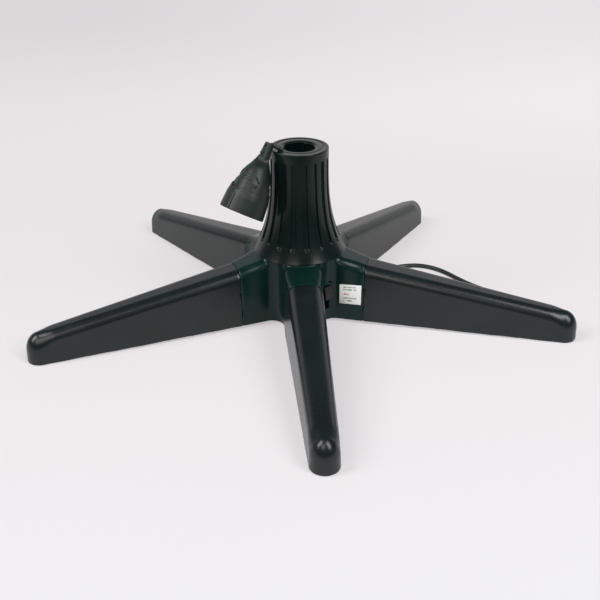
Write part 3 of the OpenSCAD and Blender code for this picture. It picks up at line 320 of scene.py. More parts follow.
def bake_modifiers(piece):
    """Replaces a piece's mesh by what its modifiers make of it."""
    seen = piece.evaluated_get(bpy.context.evaluated_depsgraph_get())
    mesh = bpy.data.meshes.new_from_object(seen)
    piece.modifiers.clear()
    old, piece.data = piece.data, mesh
    bpy.data.meshes.remove(old)
    mesh.name = piece.name


# %% [markdown]
# ## Hub housing
# The hub is one moulding: a drum under the collar with five stubs, joined by concave valleys. Each stub's
# top slopes down, its long edges are well rounded, and a fillet runs round it at the drum. Every point is
# first measured along its nearest stub: s is the distance out, t the distance from the stub's middle plane
# and z the height.

# %% Hub sizes
LEG_COUNT = 5
FRONT_A = 270.0
LEG_TURN = 360.0 / LEG_COUNT
HALF_TURN = math.radians(LEG_TURN / 2)
FLOOR_GAP, RIM_Z, DECK_Z, DECK_T = 3.5, 77.2, 73.5, 3.5
HUB_R, HUB_WALL, SEAM_R = 47.5, 2.5, 75.0
STUB_W, STUB_TOP_Z, STUB_SLOPE, STUB_EDGE_R = 42.0, 75.0, 16.8, 10.0
DRAFT, LEAN_FROM_S, LEAN_FULL_S = 0.04, 50.0, 70.0
VALLEY_R = 13.0
VALLEY_DIST = (STUB_W / 2 + VALLEY_R) / math.sin(HALF_TURN)
TANGENT_S = VALLEY_DIST * math.cos(HALF_TURN)
POCKET_R, BOSS_R, BOSS_Z, BUSH_R = 43.7, 13.0, 46.5, 10.55
TONGUE_W, TONGUE_H, TONGUE_Z, TONGUE_L = 28.0, 26.0, 34.0, 38.5
TONGUE_GAP, TONGUE_WALL, SOCKET_WALL = 0.3, 2.5, 2.0
SOCKET_S = SEAM_R - TONGUE_L - TONGUE_GAP
SCREW_S, SCREW_BOSS_R, SCREW_BOSS_Z, SCREW_HOLE_R, SCREW_HOLE_TOP_Z = 66.0, 4.0, 6.0, 1.6, 18.0
BRUSH_A, BRUSH_RINGS, BRUSH_HOLE_R = 162.0, (17, 22, 27), 1.6
SWITCH_A, SLOT_W, SLOT_H, SLOT_Z, SLOT_CORNER_R = 306.0, 6.0, 21.8, 27.9, 0.2
DIMPLE_ASIDE, DIMPLE_Z, DIMPLE_R, DIMPLE_DEPTH = 3.7, 47.8, 1.8, 1.2
RELIEF_HOLE_R, RELIEF_SEAT_R = 4.45, 6.5
print("valley centre at", round(VALLEY_DIST, 2), "tangent at", round(TANGENT_S, 2))


def along_leg(x, y):
    """Distance out along the nearest stub, and distance from its middle plane."""
    angle = np.arctan2(y, x) - math.radians(FRONT_A)
    local = angle - 2 * HALF_TURN * np.round(angle / (2 * HALF_TURN))
    radius = np.hypot(x, y)
    return radius * np.cos(local), np.abs(radius * np.sin(local))


def in_direction(x, y, angle):
    """Coordinates along and across a direction."""
    c, s = math.cos(math.radians(angle)), math.sin(math.radians(angle))
    return x * c + y * s, -x * s + y * c


def stub_lean(s, z):
    """How far a stub's side has leaned in: nothing at the drum, the leg's own draft at the seam."""
    return DRAFT * np.maximum(z - FLOOR_GAP, 0) * ease(s, LEAN_FROM_S, LEAN_FULL_S)


def hub_plan(s, t, z):
    """Outline of the hub from above."""
    in_valley = VALLEY_R - np.hypot(s - TANGENT_S, t - VALLEY_DIST * math.sin(HALF_TURN))
    return np.where(s > TANGENT_S, t - STUB_W / 2 + stub_lean(s, z), in_valley)


def stub_bar(s, t, z):
    """Sloping bar with rounded upper edges, which gives a stub its top."""
    slope = math.radians(STUB_SLOPE)
    over = (z - STUB_TOP_Z) * math.cos(slope) + (s - TANGENT_S) * math.sin(slope)
    return both(t - STUB_W / 2 + stub_lean(s, z), np.maximum(over, z - STUB_TOP_Z), STUB_EDGE_R)


# %% Hub housing
FILLET_R, RIM_EDGE_R, SOFT_EDGE_R, SEAM_EDGE_R, FOOT_EDGE_R, DIMPLE_EDGE_R = 3.0, 0.7, 0.4, 0.25, 0.8, 0.2
HUB_LOW, HUB_HIGH, HUB_CELL, HUB_KEEP = (-75.9, -78.9, 1.3), (76, 64, 80.5), 1.15, 0.55
INSIDE_WALL_R = VALLEY_WALL_R - 10


def hub_shell(s, t, z, radius):
    """Drum and stubs, hollowed from below, with the pocket in the top and the bearing's boss under it."""
    plan = hub_plan(s, t, z)
    drum = both(radius - HUB_R, z - RIM_Z, RIM_EDGE_R)
    skin = both(plan, either(np.maximum(plan, drum), stub_bar(s, t, z), FILLET_R), SOFT_EDGE_R)
    skin = both(both(skin, s - SEAM_R, SEAM_EDGE_R), FLOOR_GAP - z, FOOT_EDGE_R)
    hollow = np.maximum(plan, np.minimum(radius - HUB_R, stub_bar(s, t, z))) + HUB_WALL
    hollow = np.maximum(np.maximum(hollow, s - SEAM_R + HUB_WALL), z - DECK_Z + DECK_T)
    shell = less(less(skin, hollow), np.maximum(radius - POCKET_R, DECK_Z - z), SOFT_EDGE_R)
    shell = np.minimum(shell, np.maximum(radius - BOSS_R, span(z, BOSS_Z, DECK_Z)))
    return less(shell, np.maximum(radius - BUSH_R, BOSS_Z - 2 - z))


def with_leg_sockets(shell, s, t, z):
    """Adds each stub's tongue socket and screw boss, and cuts their holes."""
    up = z - TONGUE_Z - TONGUE_H / 2
    half_w, half_h = TONGUE_W / 2 + TONGUE_GAP, TONGUE_H / 2 + TONGUE_GAP
    tube = box2(t, up, half_w + SOCKET_WALL, half_h + SOCKET_WALL)
    from_screw = np.hypot(s - SCREW_S, t)
    shell = np.minimum(shell, np.maximum(tube, span(s, SOCKET_S - SOCKET_WALL, SEAM_R - 1)))
    shell = np.minimum(shell, np.maximum(from_screw - SCREW_BOSS_R, span(z, SCREW_BOSS_Z, TONGUE_Z - 1)))
    shell = less(shell, np.maximum(box2(t, up, half_w, half_h), SOCKET_S - s), SOFT_EDGE_R)
    return less(shell, np.maximum(from_screw - SCREW_HOLE_R, z - SCREW_HOLE_TOP_Z))


def hub_housing(x, y, z):
    s, t = along_leg(x, y)
    shell = with_leg_sockets(hub_shell(s, t, z, np.hypot(x, y)), s, t, z)
    out, side = in_direction(x, y, BRUSH_A)
    for ring in BRUSH_RINGS:
        brush_hole = np.hypot(out - ring, side) - BRUSH_HOLE_R
        shell = less(shell, np.maximum(brush_hole, DECK_Z - DECK_T - 1 - z))
    out, side = in_direction(x, y, SWITCH_A)
    slot = box2(side, z - SLOT_Z, SLOT_W / 2, SLOT_H / 2, SLOT_CORNER_R)
    shell = less(shell, np.maximum(slot, INSIDE_WALL_R - out))
    dimple = np.hypot(side - DIMPLE_ASIDE, z - DIMPLE_Z) - DIMPLE_R
    shell = less(shell, np.maximum(dimple, VALLEY_WALL_R - DIMPLE_DEPTH - out), DIMPLE_EDGE_R)
    out, side = in_direction(x, y, CORD_A)
    from_cord = np.hypot(side, z - RELIEF_Z)
    shell = less(shell, np.maximum(from_cord - RELIEF_HOLE_R, INSIDE_WALL_R - out))
    return less(shell, np.maximum(from_cord - RELIEF_SEAT_R, VALLEY_WALL_R - out))


hub = carved_piece("hub", hub_housing, HUB_LOW, HUB_HIGH, HUB_CELL, "hub", "hub_plastic")
thin = hub.modifiers.new("thin", "DECIMATE")
thin.ratio = HUB_KEEP
bake_modifiers(hub)
hub.data.set_sharp_from_angle(angle=math.radians(CARVED_SHARP))
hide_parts("hub_housing")
print("hub thinned to", len(hub.data.polygons), "faces")

# %% [markdown]
# ## Legs
# A leg is a long open-bottomed shell. It narrows and falls towards a round tip, and a hollow tongue on its
# end wall plugs into the hub. The shape is carved once, along X, and turned into place five times.

# %% Leg
TIP_S, LEG_ROOT_W, LEG_TIP_W = 285.9, 41.7, 28.2
LEG_ROOT_H, LEG_TIP_H, LEG_WALL = 66.0, 32.1, 2.6
LEG_TIP_GAP = 0.8
LEG_EDGE_R, TIP_EDGE_R, TIP_STRETCH = 10.5, 14.4, 0.2
TIP_FROM_S, TIP_FULL_S = TIP_S - 16, TIP_S + 4
LEG_END_WALL, LEG_FOOT_EDGE_R, TONGUE_EDGE_R, OVERLAP = 3.0, 0.5, 1.0, 1.0
RIB_AT, RIB_T, RIB_SINK, RIB_GAP = (126, 176, 226), 2.0, 0.8, 6.0
PAD_BOSS_R, PAD_BOSS_LOW, PAD_BOSS_HIGH, PAD_HOLE_R, PAD_HOLE_TOP_Z = 5.5, 4.0, 16.0, 3.05, 13.0
LEG_LOW, LEG_HIGH, LEG_CELL = (34.1, -21.6, -1.1), (302, 21.6, 68.2), 1.2
LEG_SIDES = ("front", "right", "rear_right", "rear_left", "left")


def leg_section(s, t, z, inset):
    """The leg's outline, drawn in by inset, as a distance. Near the tip its rounding grows into a dome."""
    share = np.clip((s - SEAM_R) / (TIP_S - SEAM_R), 0, 1)
    half = (LEG_ROOT_W + (LEG_TIP_W - LEG_ROOT_W) * share) / 2
    top = LEG_ROOT_H + (LEG_TIP_H - LEG_ROOT_H) * share
    across = np.where(s > TIP_S, np.hypot(t, s - TIP_S), np.abs(t))
    dome = ease(s, TIP_FROM_S, TIP_FULL_S)
    return both(across + DRAFT * z - half + inset, (z - top + inset) * (1 - TIP_STRETCH * dome),
                LEG_EDGE_R + (TIP_EDGE_R - LEG_EDGE_R) * dome - inset)


def leg_tongue(x, y, up):
    """Hollow bar on the end wall that goes into the hub; up is the height over its middle."""
    outside = box2(y, up, TONGUE_W / 2, TONGUE_H / 2, TONGUE_EDGE_R)
    bar = np.maximum(outside, span(x, SEAM_R - TONGUE_L, SEAM_R + OVERLAP))
    bore = box2(y, up, TONGUE_W / 2 - TONGUE_WALL, TONGUE_H / 2 - TONGUE_WALL)
    return less(bar, np.maximum(bore, x - SEAM_R + OVERLAP))


def leg_shell(x, y, z):
    share = np.clip((x - SEAM_R) / (TIP_S - SEAM_R), 0, 1)
    foot = FLOOR_GAP + (LEG_TIP_GAP - FLOOR_GAP) * share
    skin = both(both(leg_section(x, y, z, 0), SEAM_R - x, SEAM_EDGE_R), foot - z, LEG_FOOT_EDGE_R)
    hollow = np.maximum(leg_section(x, y, z, LEG_WALL), SEAM_R + LEG_END_WALL - x)
    boss = np.hypot(x - TIP_S, y) - PAD_BOSS_R
    ribs = np.minimum.reduce([np.abs(x - at) - RIB_T / 2 for at in RIB_AT])
    inside = np.maximum(leg_section(x, y, z, RIB_SINK), foot + RIB_GAP - z)
    shell = np.minimum(less(skin, hollow), np.maximum(inside, np.minimum(ribs, boss)))
    shell = np.minimum(shell, np.maximum(boss, span(z, PAD_BOSS_LOW, PAD_BOSS_HIGH)))
    shell = less(shell, np.maximum(boss + PAD_BOSS_R - PAD_HOLE_R, z - PAD_HOLE_TOP_Z))
    return np.minimum(shell, leg_tongue(x, y, z - TONGUE_Z - TONGUE_H / 2))


leg_points, leg_faces = carve(leg_shell, LEG_LOW, LEG_HIGH, LEG_CELL)
leg_faces = leg_faces.tolist()
for number, side in enumerate(LEG_SIDES):
    spin = np.array(rotation(FRONT_A + number * LEG_TURN, "Z").to_3x3())
    turned_points = leg_points @ spin.T
    leg = add_piece("leg_of_" + side, turned_points, leg_faces, side + "_leg", "leg_plastic", CARVED_SHARP)
    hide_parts("leg_" + side)
print("leg", len(leg_faces), "faces")

# %% [markdown]
# ## Node trees in Python
# Node trees are easier to read as sums than as chains of nodes. A Wire holds one output of a node, and
# + - * / on it add Math nodes. Every other node comes from add_node.

# %% Node helpers
class Wire:
    """One output socket, which arithmetic turns into Math nodes."""

    def __init__(self, tree, socket):
        self.tree = tree
        self.socket = socket

    def maths(self, operation, *values):
        return add_node(self.tree, "ShaderNodeMath", dict(enumerate(values)), operation=operation)

    def __add__(self, other):
        return self.maths("ADD", self, other)

    __radd__ = __add__

    def __sub__(self, other):
        return self.maths("SUBTRACT", self, other)

    def __rsub__(self, other):
        return self.maths("SUBTRACT", other, self)

    def __mul__(self, other):
        return self.maths("MULTIPLY", self, other)

    def __truediv__(self, other):
        return self.maths("DIVIDE", self, other)

    def size(self):
        return self.maths("ABSOLUTE", self)

    def step(self, low, high):
        """0 below low, 1 above high, smooth between."""
        return add_node(self.tree, "ShaderNodeMapRange", {0: self, 1: low, 2: high},
                        interpolation_type="SMOOTHSTEP")


def plug_in(socket, value):
    """Puts a value or a wire into an input socket."""
    if isinstance(value, Wire):
        value.tree.links.new(value.socket, socket)
    else:
        socket.default_value = value


def add_node(tree, kind, inputs=(), output=0, **settings):
    """Adds a node; settings come first, then values or wires go into its sockets."""
    made = tree.nodes.new(kind)
    for name, value in settings.items():
        setattr(made, name, value)
    for key, value in dict(inputs).items():
        plug_in(made.inputs[key], value)
    return Wire(tree, made.outputs[output])


def grow(piece, tree, values):
    """Runs a geometry tree on a piece with its named inputs, and keeps the plain mesh."""
    run = piece.modifiers.new(tree.name, "NODES")
    run.node_group = tree
    for item in tree.interface.items_tree:
        if item.in_out == "INPUT" and item.name in values:
            run[item.identifier] = values[item.name]
    bake_modifiers(piece)
    return piece


print("node helpers ready")

# %% [markdown]
# ## Finishes
# The stand is moulded in very dark green plastic. The hub is polished, so it mirrors the studio in narrow
# streaks, while the legs' fine satin grain spreads the light into grey. A real moulding is never one flat
# colour: tone and gloss drift slowly over it, grain breaks up reflections, and handling rubs the corners
# paler. Each plastic below has these layers, at sizes that fit the piece.

# %% Finish helpers
GRAIN_DEPTH = 0.0001
WORN_GREY = 0.018
finishes = {}


def new_finish(name):
    """Empty finish, kept under its name: its tree, its shader and the place on the piece."""
    made = bpy.data.materials.new(name)
    finishes[name] = made
    made.use_nodes = True
    tree = made.node_tree
    tree.nodes.clear()
    shader = tree.nodes.new("ShaderNodeBsdfPrincipled")
    out = tree.nodes.new("ShaderNodeOutputMaterial")
    tree.links.new(shader.outputs[0], out.inputs[0])
    place = add_node(tree, "ShaderNodeTexCoord", output="Object")
    return tree, shader, place


def noise(place, scale, detail=2.0, roughness=0.5):
    inputs = {"Vector": place, "Scale": scale, "Detail": detail, "Roughness": roughness}
    return add_node(place.tree, "ShaderNodeTexNoise", inputs)


def mix(tree, factor, low, high):
    """Colour between low and high."""
    low, high = (end if isinstance(end, Wire) else (*end, 1) for end in (low, high))
    return add_node(tree, "ShaderNodeMix", {0: factor, 6: low, 7: high}, output=2, data_type="RGBA")


def stretched(place, scale=(1, 1, 1), turn=(0, 0, 0), move=(0, 0, 0)):
    inputs = {"Vector": place, "Scale": scale, "Rotation": turn, "Location": move}
    return add_node(place.tree, "ShaderNodeMapping", inputs)


def feed(shader, **sockets):
    for name, value in sockets.items():
        plug_in(shader.inputs[name.replace("_", " ")], value)


def bump(height, strength):
    inputs = {"Strength": strength, "Distance": GRAIN_DEPTH, "Height": height}
    return add_node(height.tree, "ShaderNodeBump", inputs, output="Normal")


def shade(colour, factor):
    return tuple(min(1.0, c * factor) for c in colour)


print("finish helpers ready")

# %% Plastics and rubbers
def plastic(slot, colour, roughness, grain=0.12, grain_size=0.5, drift=0.2, rub=0.3, mirror=1.48):
    """Moulded plastic: slow drift of tone and gloss, fine grain, paler rubbed corners. Its IOR is mirror."""
    tree, shader, place = new_finish(slot)
    cloud = noise(place, 16, 4, 0.6)
    speck = noise(place, 1000 / grain_size, 2, 0.6)
    scuff = noise(stretched(place, (1, 1, 0.25), (0.3, 0.2, 0.5)), 420, 3, 0.7)
    edge = add_node(tree, "ShaderNodeNewGeometry", output="Pointiness").step(0.53, 0.64)
    worn = edge * scuff.step(0.35, 0.65) * rub
    tone = mix(tree, cloud.step(0.25, 0.75), shade(colour, 1 - drift), shade(colour, 1 + drift))
    tone = mix(tree, speck.step(0.45, 0.85) * 0.35, tone, shade(colour, 1.8))
    tone = mix(tree, worn, tone, tuple(WORN_GREY + 1.2 * c for c in colour))
    gloss = roughness + (cloud - 0.5) * 0.08 + scuff.step(0.62, 0.8) * 0.05 + worn * 0.15
    normal = bump(speck + scuff * 0.3, grain)
    feed(shader, Base_Color=tone, Roughness=gloss, Normal=normal, IOR=mirror)


plastic("hub_plastic", (0.002, 0.018, 0.014), 0.24, grain=0.04, grain_size=0.35, rub=0.2, mirror=1.36)
plastic("leg_plastic", (0.006, 0.011, 0.011), 0.27, grain=0.10, grain_size=0.6)
plastic("collar_plastic", (0.003, 0.010, 0.008), 0.25, grain=0.06, mirror=1.38)
plastic("plate_plastic", (0.018, 0.026, 0.025), 0.55, grain=0.2)
plastic("black_plastic", (0.009, 0.012, 0.012), 0.45, grain=0.12)
plastic("plug_plastic", (0.014, 0.020, 0.020), 0.5, grain=0.2)
plastic("outlet_rubber", (0.007, 0.015, 0.013), 0.45, grain=0.25, grain_size=0.6, drift=0.15)
plastic("cord_jacket", (0.014, 0.021, 0.020), 0.38, grain=0.1, drift=0.1)
plastic("pad_rubber", (0.015, 0.015, 0.016), 0.8, grain=0.5, grain_size=0.9)
plastic("nylon", (0.70, 0.68, 0.63), 0.4, grain=0.1, drift=0.05, rub=0.0)
plastic("carbon", (0.03, 0.03, 0.03), 0.6, grain=0.4, grain_size=0.3)
print("plastics", len(finishes))

# %% Resin board
# Pressed board under the slip rings: cloth showing through brown resin.
RESIN_BROWN = (0.33, 0.28, 0.10)
tree, shader, place = new_finish("resin_board")
weave = add_node(tree, "ShaderNodeTexChecker", {"Vector": place, "Scale": 1400.0}, output="Fac")
cloud = noise(place, 60, 3)
cloth = weave * 0.35 + cloud.step(0.3, 0.7) * 0.4
tone = mix(tree, cloth, shade(RESIN_BROWN, 0.75), shade(RESIN_BROWN, 1.2))
feed(shader, Base_Color=tone, Roughness=0.4 + cloud * 0.15, Normal=bump(weave, 0.2))
print("board ready")

# %% Metals
def metal(slot, colour, roughness, tarnish, brushed=0.0):
    """Bare or plated metal: fine brushing, faint stains, and duller spots."""
    tree, shader, place = new_finish(slot)
    lines = noise(stretched(place, (1, 1, 14)), 260, 3, 0.6)
    stain = noise(place, 90, 4, 0.65)
    tone = mix(tree, stain.step(0.35, 0.75) * tarnish, colour, shade(colour, 0.55))
    feed(shader, Base_Color=tone, Metallic=1.0,
         Roughness=roughness + lines * brushed + stain.step(0.5, 0.8) * 0.15,
         Normal=bump(lines, 0.05 + brushed * 0.4))


metal("steel", (0.56, 0.57, 0.58), 0.28, 0.3, 0.1)
metal("race_steel", (0.62, 0.63, 0.64), 0.18, 0.15, 0.08)
metal("motor_metal", (0.60, 0.60, 0.57), 0.32, 0.25, 0.12)
metal("bronze", (0.55, 0.38, 0.17), 0.4, 0.5)
metal("brass", (0.72, 0.60, 0.34), 0.25, 0.3, 0.08)
metal("copper", (0.74, 0.40, 0.22), 0.25, 0.4, 0.1)
print("finishes", len(finishes))

# %% Printed label
# White sticker with five short rows of plain marks, which stand in for small print.
LABEL_S, LABEL_Z, LABEL_W, LABEL_H = 49.0, 23.0, 23.5, 23.0
RIGHT_A = FRONT_A + LEG_TURN
ROW_START, ROW_HALF_H = 0.16, 0.035
GREEN_INK, RED_INK, GREY_INK = (0.22, 0.30, 0.27), (0.50, 0.10, 0.09), (0.30, 0.32, 0.31)
PRINTED_ROWS = (
    (0.85, 0.76, GREEN_INK), (0.73, 0.79, GREEN_INK), (0.50, 0.45, RED_INK), (0.30, 0.80, GREY_INK),
    (0.17, 0.62, GREY_INK))

tree, shader, place = new_finish("label")
flat = stretched(place, turn=(0, 0, -math.radians(RIGHT_A)))
parts = [add_node(tree, "ShaderNodeSeparateXYZ", {0: flat}, output=i) for i in (0, 2)]
along, up = [(part - low * MM) / (LABEL_W * MM) for part, low in zip(parts, (LABEL_S, LABEL_Z))]
fibre = noise(place, 900, 3)
tone = mix(tree, fibre.step(0.3, 0.7), (0.88, 0.89, 0.86), (0.95, 0.96, 0.93))
for number, (height, end, ink) in enumerate(PRINTED_ROWS):
    row = 1 - (up - height).size().step(ROW_HALF_H - 0.005, ROW_HALF_H + 0.005)
    half = (end - ROW_START) / 2
    reach = 1 - (along - (ROW_START + half)).size().step(half - 0.01, half)
    marks = noise(stretched(flat, (1, 0, 0.02), move=(number * 0.37, 0, 0)), 1100, 0)
    tone = mix(tree, row * reach * marks.step(0.42, 0.5), tone, ink)
feed(shader, Base_Color=tone, Roughness=0.5 + fibre * 0.1, Normal=bump(fibre, 0.05))
print("label finish ready")

# %% [markdown]
# ## Repeating by rule
# A Geometry Nodes tree that copies a piece round the upright axis makes the eighteen flutes of the collar.
# The copies are made real and joined, so that the result is one plain mesh.

# %% Copying tree
def copies_round(name):
    """Geometry tree that repeats a piece Count times round Z, and joins the copies into one mesh."""
    tree = bpy.data.node_groups.new(name, "GeometryNodeTree")
    for label, kind in (("Geometry", "Geometry"), ("Count", "Int"), ("Material", "Material")):
        tree.interface.new_socket(label, in_out="INPUT", socket_type="NodeSocket" + kind)
    tree.interface.new_socket("Geometry", in_out="OUTPUT", socket_type="NodeSocketGeometry")
    shape, count, material = [Wire(tree, socket) for socket in tree.nodes.new("NodeGroupInput").outputs[:3]]
    spots = add_node(tree, "GeometryNodePoints", {"Count": count})
    turn = add_node(tree, "GeometryNodeInputIndex") * math.tau / count
    spin = add_node(tree, "ShaderNodeCombineXYZ", {"Z": turn})
    copies = add_node(tree, "GeometryNodeInstanceOnPoints",
                      {"Points": spots, "Instance": shape, "Rotation": spin})
    real = add_node(tree, "GeometryNodeRealizeInstances", {0: copies})
    joined = add_node(tree, "GeometryNodeMergeByDistance", {"Geometry": real, "Distance": 0.00001})
    dressed = add_node(tree, "GeometryNodeSetMaterial", {"Geometry": joined, "Material": material})
    plug_in(tree.nodes.new("NodeGroupOutput").inputs[0], dressed)
    return tree


copy_round = copies_round("copies_round_axis")
print("tree", copy_round.name)

# %% [markdown]
# ## Collar
# The collar flares like a trumpet and has eighteen shallow flutes with round ends. One slice of twenty
# degrees is made as a lattice whose columns follow the flute's edge, with rows packed closely round its two
# ends. The lattice also runs over the top, down the inside and back, which gives the shell its wall. The
# copying tree then turns the slice into the whole collar.

# %% Collar slice
COLLAR_Z, COLLAR_H = 78.0, 111.5
COLLAR_TOP_Z = COLLAR_Z + COLLAR_H
COLLAR_BASE_R, COLLAR_NECK_R, COLLAR_CURVE, COLLAR_WALL = 49.0, 30.8, 3.4, 3.0
SKIRT, SKIRT_T, RIM_EDGE = 1.3, 0.9, 1.0
FLUTES, FLUTE_DEPTH = 18, 2.1
FLUTE_LOW, FLUTE_HIGH, FLUTE_LOW_R, FLUTE_HIGH_R = 14.2, 99.5, 3.2, 2.5
FLUTE_EDGE_OUT, FLUTE_EDGE_W = 0.12, 0.55
FLUTE_FIRST_A = FRONT_A + 6
ROW_STEP = 0.32
SEAT_ROWS = ((25.1, 0), (24.9, 0.2), (24.85, 2.2), (22.6, 2.2), (22.6, 4.2), (27.8, 4.2))
FLOOR_ROWS = ((19.5, 6.5), (19.5, 3.9), (43.6, 3.9), (43.6, 0.3))


def collar_radius(t):
    share = np.maximum(0, 1 - t / COLLAR_H)
    return COLLAR_NECK_R + (COLLAR_BASE_R - COLLAR_NECK_R) * share ** COLLAR_CURVE


def flute_half(t):
    share = (np.clip(t, FLUTE_LOW, FLUTE_HIGH) - FLUTE_LOW) / (FLUTE_HIGH - FLUTE_LOW)
    return FLUTE_LOW_R + (FLUTE_HIGH_R - FLUTE_LOW_R) * share


def flute_sink(y, t):
    """How far a point of the skin sinks into the flute."""
    past = np.maximum(0, np.maximum(FLUTE_LOW - t, t - FLUTE_HIGH))
    outside = np.hypot(y, past) - flute_half(t)
    return FLUTE_DEPTH * ease(FLUTE_EDGE_OUT - outside, 0, FLUTE_EDGE_W)


# Each row of the lattice is a radius, a height over the collar's foot, and 1 where flutes may sink it.
skin_rows = np.concatenate([
    [0.2 - SKIRT, 0.5, 2, 4, 6.5, 9], np.arange(10.2, 15.0, ROW_STEP), np.linspace(16, FLUTE_HIGH - 1, 30),
    np.arange(FLUTE_HIGH - 0.3, FLUTE_HIGH + 3.4, ROW_STEP), np.linspace(104, COLLAR_H - 1.2, 6)])
profile = [(43.75, 0, 0), (COLLAR_BASE_R - SKIRT_T, 0, 0), (48.15, -SKIRT, 0),
           (collar_radius(-SKIRT) - 0.2, -SKIRT, 0)]
profile += [(collar_radius(t), t, 1) for t in skin_rows]
profile += [(COLLAR_NECK_R + RIM_EDGE * (math.cos(a) - 1), COLLAR_H + RIM_EDGE * (math.sin(a) - 1), 0)
            for a in np.linspace(0.26, 1.57, 6)]
profile += [(r, COLLAR_H - down, 0) for r, down in SEAT_ROWS]
profile += [(collar_radius(t) - COLLAR_WALL, t, 0) for t in np.linspace(100, 6.5, 16)]
profile += [(r, t, 0) for r, t in FLOOR_ROWS]
radius_at, height_at, is_skin = (np.array(values, float) for values in zip(*profile))

# Columns run along the flute's middle, down its edge, which takes most of them, and on to the slice's side.
half = flute_half(height_at)
across = [half * share for share in (0, 0.25, 0.5, 0.7)]
across += [half + far for far in (-0.5, -0.36, -0.22, -0.08, 0.08, 0.3, 0.8)]
angles = [np.arcsin(far / np.maximum(radius_at, 19)) for far in across]
angles += [angles[-1] + (math.pi / FLUTES - angles[-1]) * share for share in (0.35, 0.7, 1.0)]
angles = np.stack([-a for a in angles[:0:-1]] + angles)
sunk = radius_at - is_skin * flute_sink(np.sin(angles) * radius_at, height_at)
turn = angles + math.radians(FLUTE_FIRST_A)
columns, rows = angles.shape
lattice = np.stack([sunk * np.cos(turn), sunk * np.sin(turn), height_at + COLLAR_Z + 0 * turn], axis=-1)
quads = [(c * rows + r, (c + 1) * rows + r, (c + 1) * rows + (r + 1) % rows, c * rows + (r + 1) % rows)
         for c in range(columns - 1) for r in range(rows)]
collar = add_piece("collar", lattice.reshape(-1, 3), quads, "rotor", "collar_plastic", 60)
print("slice", columns, "columns", rows, "rows")

# %% Whole collar
grow(collar, copy_round, {"Count": FLUTES, "Material": finishes["collar_plastic"]})
collar.data.shade_smooth()
collar.data.set_sharp_from_angle(angle=math.radians(CARVED_SHARP))
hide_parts("collar_shell")
print("collar", len(collar.data.polygons), "faces")

# %% [markdown]
# ## Trailing socket
# The socket hangs from the collar's top by its lead. It is a soft moulding: a flat web with two small
# windows beside the round sleeve that holds the lead, a flared body with a six-sided grip panel sunk into
# each side, and a round cup with a thin rib. It is carved upright, with its neck's top at the origin and d
# as the distance down from there, and is then tipped into the slant that the photograph shows.

# %% Socket outline
OUTLET_AT = (-30.6, -10.9, 197.6)
OUTLET_TIP, OUTLET_TURN = 31.0, 36.9
OUTLET_L, RECESS_R, RECESS_D = 77.0, 19.75, 17.5
INSERT_R, INSERT_T, CORE_R, CORE_L = 17.6, 5.0, 13.65, 21.0
GROOVE_A, GROOVE_FROM, GROOVE_TO = 138.0, 21.5, 4.0
WEB_A, WEB_T, WEB_FROM, WEB_TO = 140.0, 5.2, 15.0, 30.0
SLEEVE_R, SLEEVE_L, SLEEVE_OUT, SLEEVE_ASIDE = 3.4, 20.5, 1.5, 0.4
WINDOWS, WINDOW_HALF, NOTCH_D = ((2.9, 4.4), (4.1, 13.8)), (1.2, 1.0), 13.8
PANEL_A, PANEL_FLOOR, PANEL_SLOPE = 179.0, 1.2, 1.3
PANEL = ((33.8, 9.1), (41.8, 16.3), (49.0, 17.3), (54.5, 6.7))
RIPPLE, RIPPLE_PITCH, RIPPLE_HALF_W = 0.14, 2.9, 10.0
RIB_A, RIB_W, RIB_PROUD, RIB_FROM = 188.0, 3.0, 1.0, 59.5
SOCKET_LOW, SOCKET_HIGH, SOCKET_CELL = (-25.6, -25.6, -78.6), (25.6, 25.6, 1.6), 0.55

socket_d = np.array([-3, 0, 0.8, 5, 16.5, 19.5, 25, 30, 35, 44.5, 51, 54, 56.5, 61, 77, 81])
socket_r = np.array([4, 4, 4.5, 4.9, 6.3, 7.6, 10.3, 13.2, 15.5, 19.4, 20.8, 21.3, 21.9, 22.7, 23.75, 24])
fine_d = np.linspace(socket_d[0], socket_d[-1], 841)
window = np.hanning(13)
fine_r = np.pad(np.interp(fine_d, socket_d, socket_r), len(window) // 2, "edge")
fine_r = np.convolve(fine_r, window / window.sum(), "valid")
print("socket radius in the middle", round(float(np.interp(45, fine_d, fine_r)), 2))


def panel_region(d, side):
    """Six-sided panel, as a distance on the surface; its lower edge runs straight across."""
    far = np.maximum(PANEL[0][0] - d, d - PANEL[-1][0])
    for (x0, y0), (x1, y1) in zip(PANEL, PANEL[1:]):
        length = math.hypot(x1 - x0, y1 - y0)
        far = np.maximum(far, ((np.abs(side) - y0) * (x1 - x0) - (d - x0) * (y1 - y0)) / length)
    return far


def socket_web(x, y, d, outline):
    """Flat web that swells into the round body, with the lead's sleeve, two windows and a notched edge."""
    out, side = in_direction(x, y, WEB_A)
    half = WEB_T / 2 + (outline - WEB_T / 2 + 1.5) * ease(d, WEB_FROM, WEB_TO)
    web = both(np.hypot(x, y) - outline, np.abs(side) - half, 1.2)
    sleeve = both(np.hypot(out + SLEEVE_OUT, side - SLEEVE_ASIDE) - SLEEVE_R, d - SLEEVE_L, 1.8)
    body = both(both(either(web, sleeve, 0.8), d - OUTLET_L, 0.8), -d, 0.5)
    for middle, deep in WINDOWS:
        cut = box2(out - middle, d - deep, *WINDOW_HALF, 0.2)
        body = less(body, np.maximum(cut, 1.2 - np.abs(side)), 0.15)
    return less(body, np.maximum(np.abs(d - NOTCH_D) - 0.7, outline - 1.0 - out), 0.15)


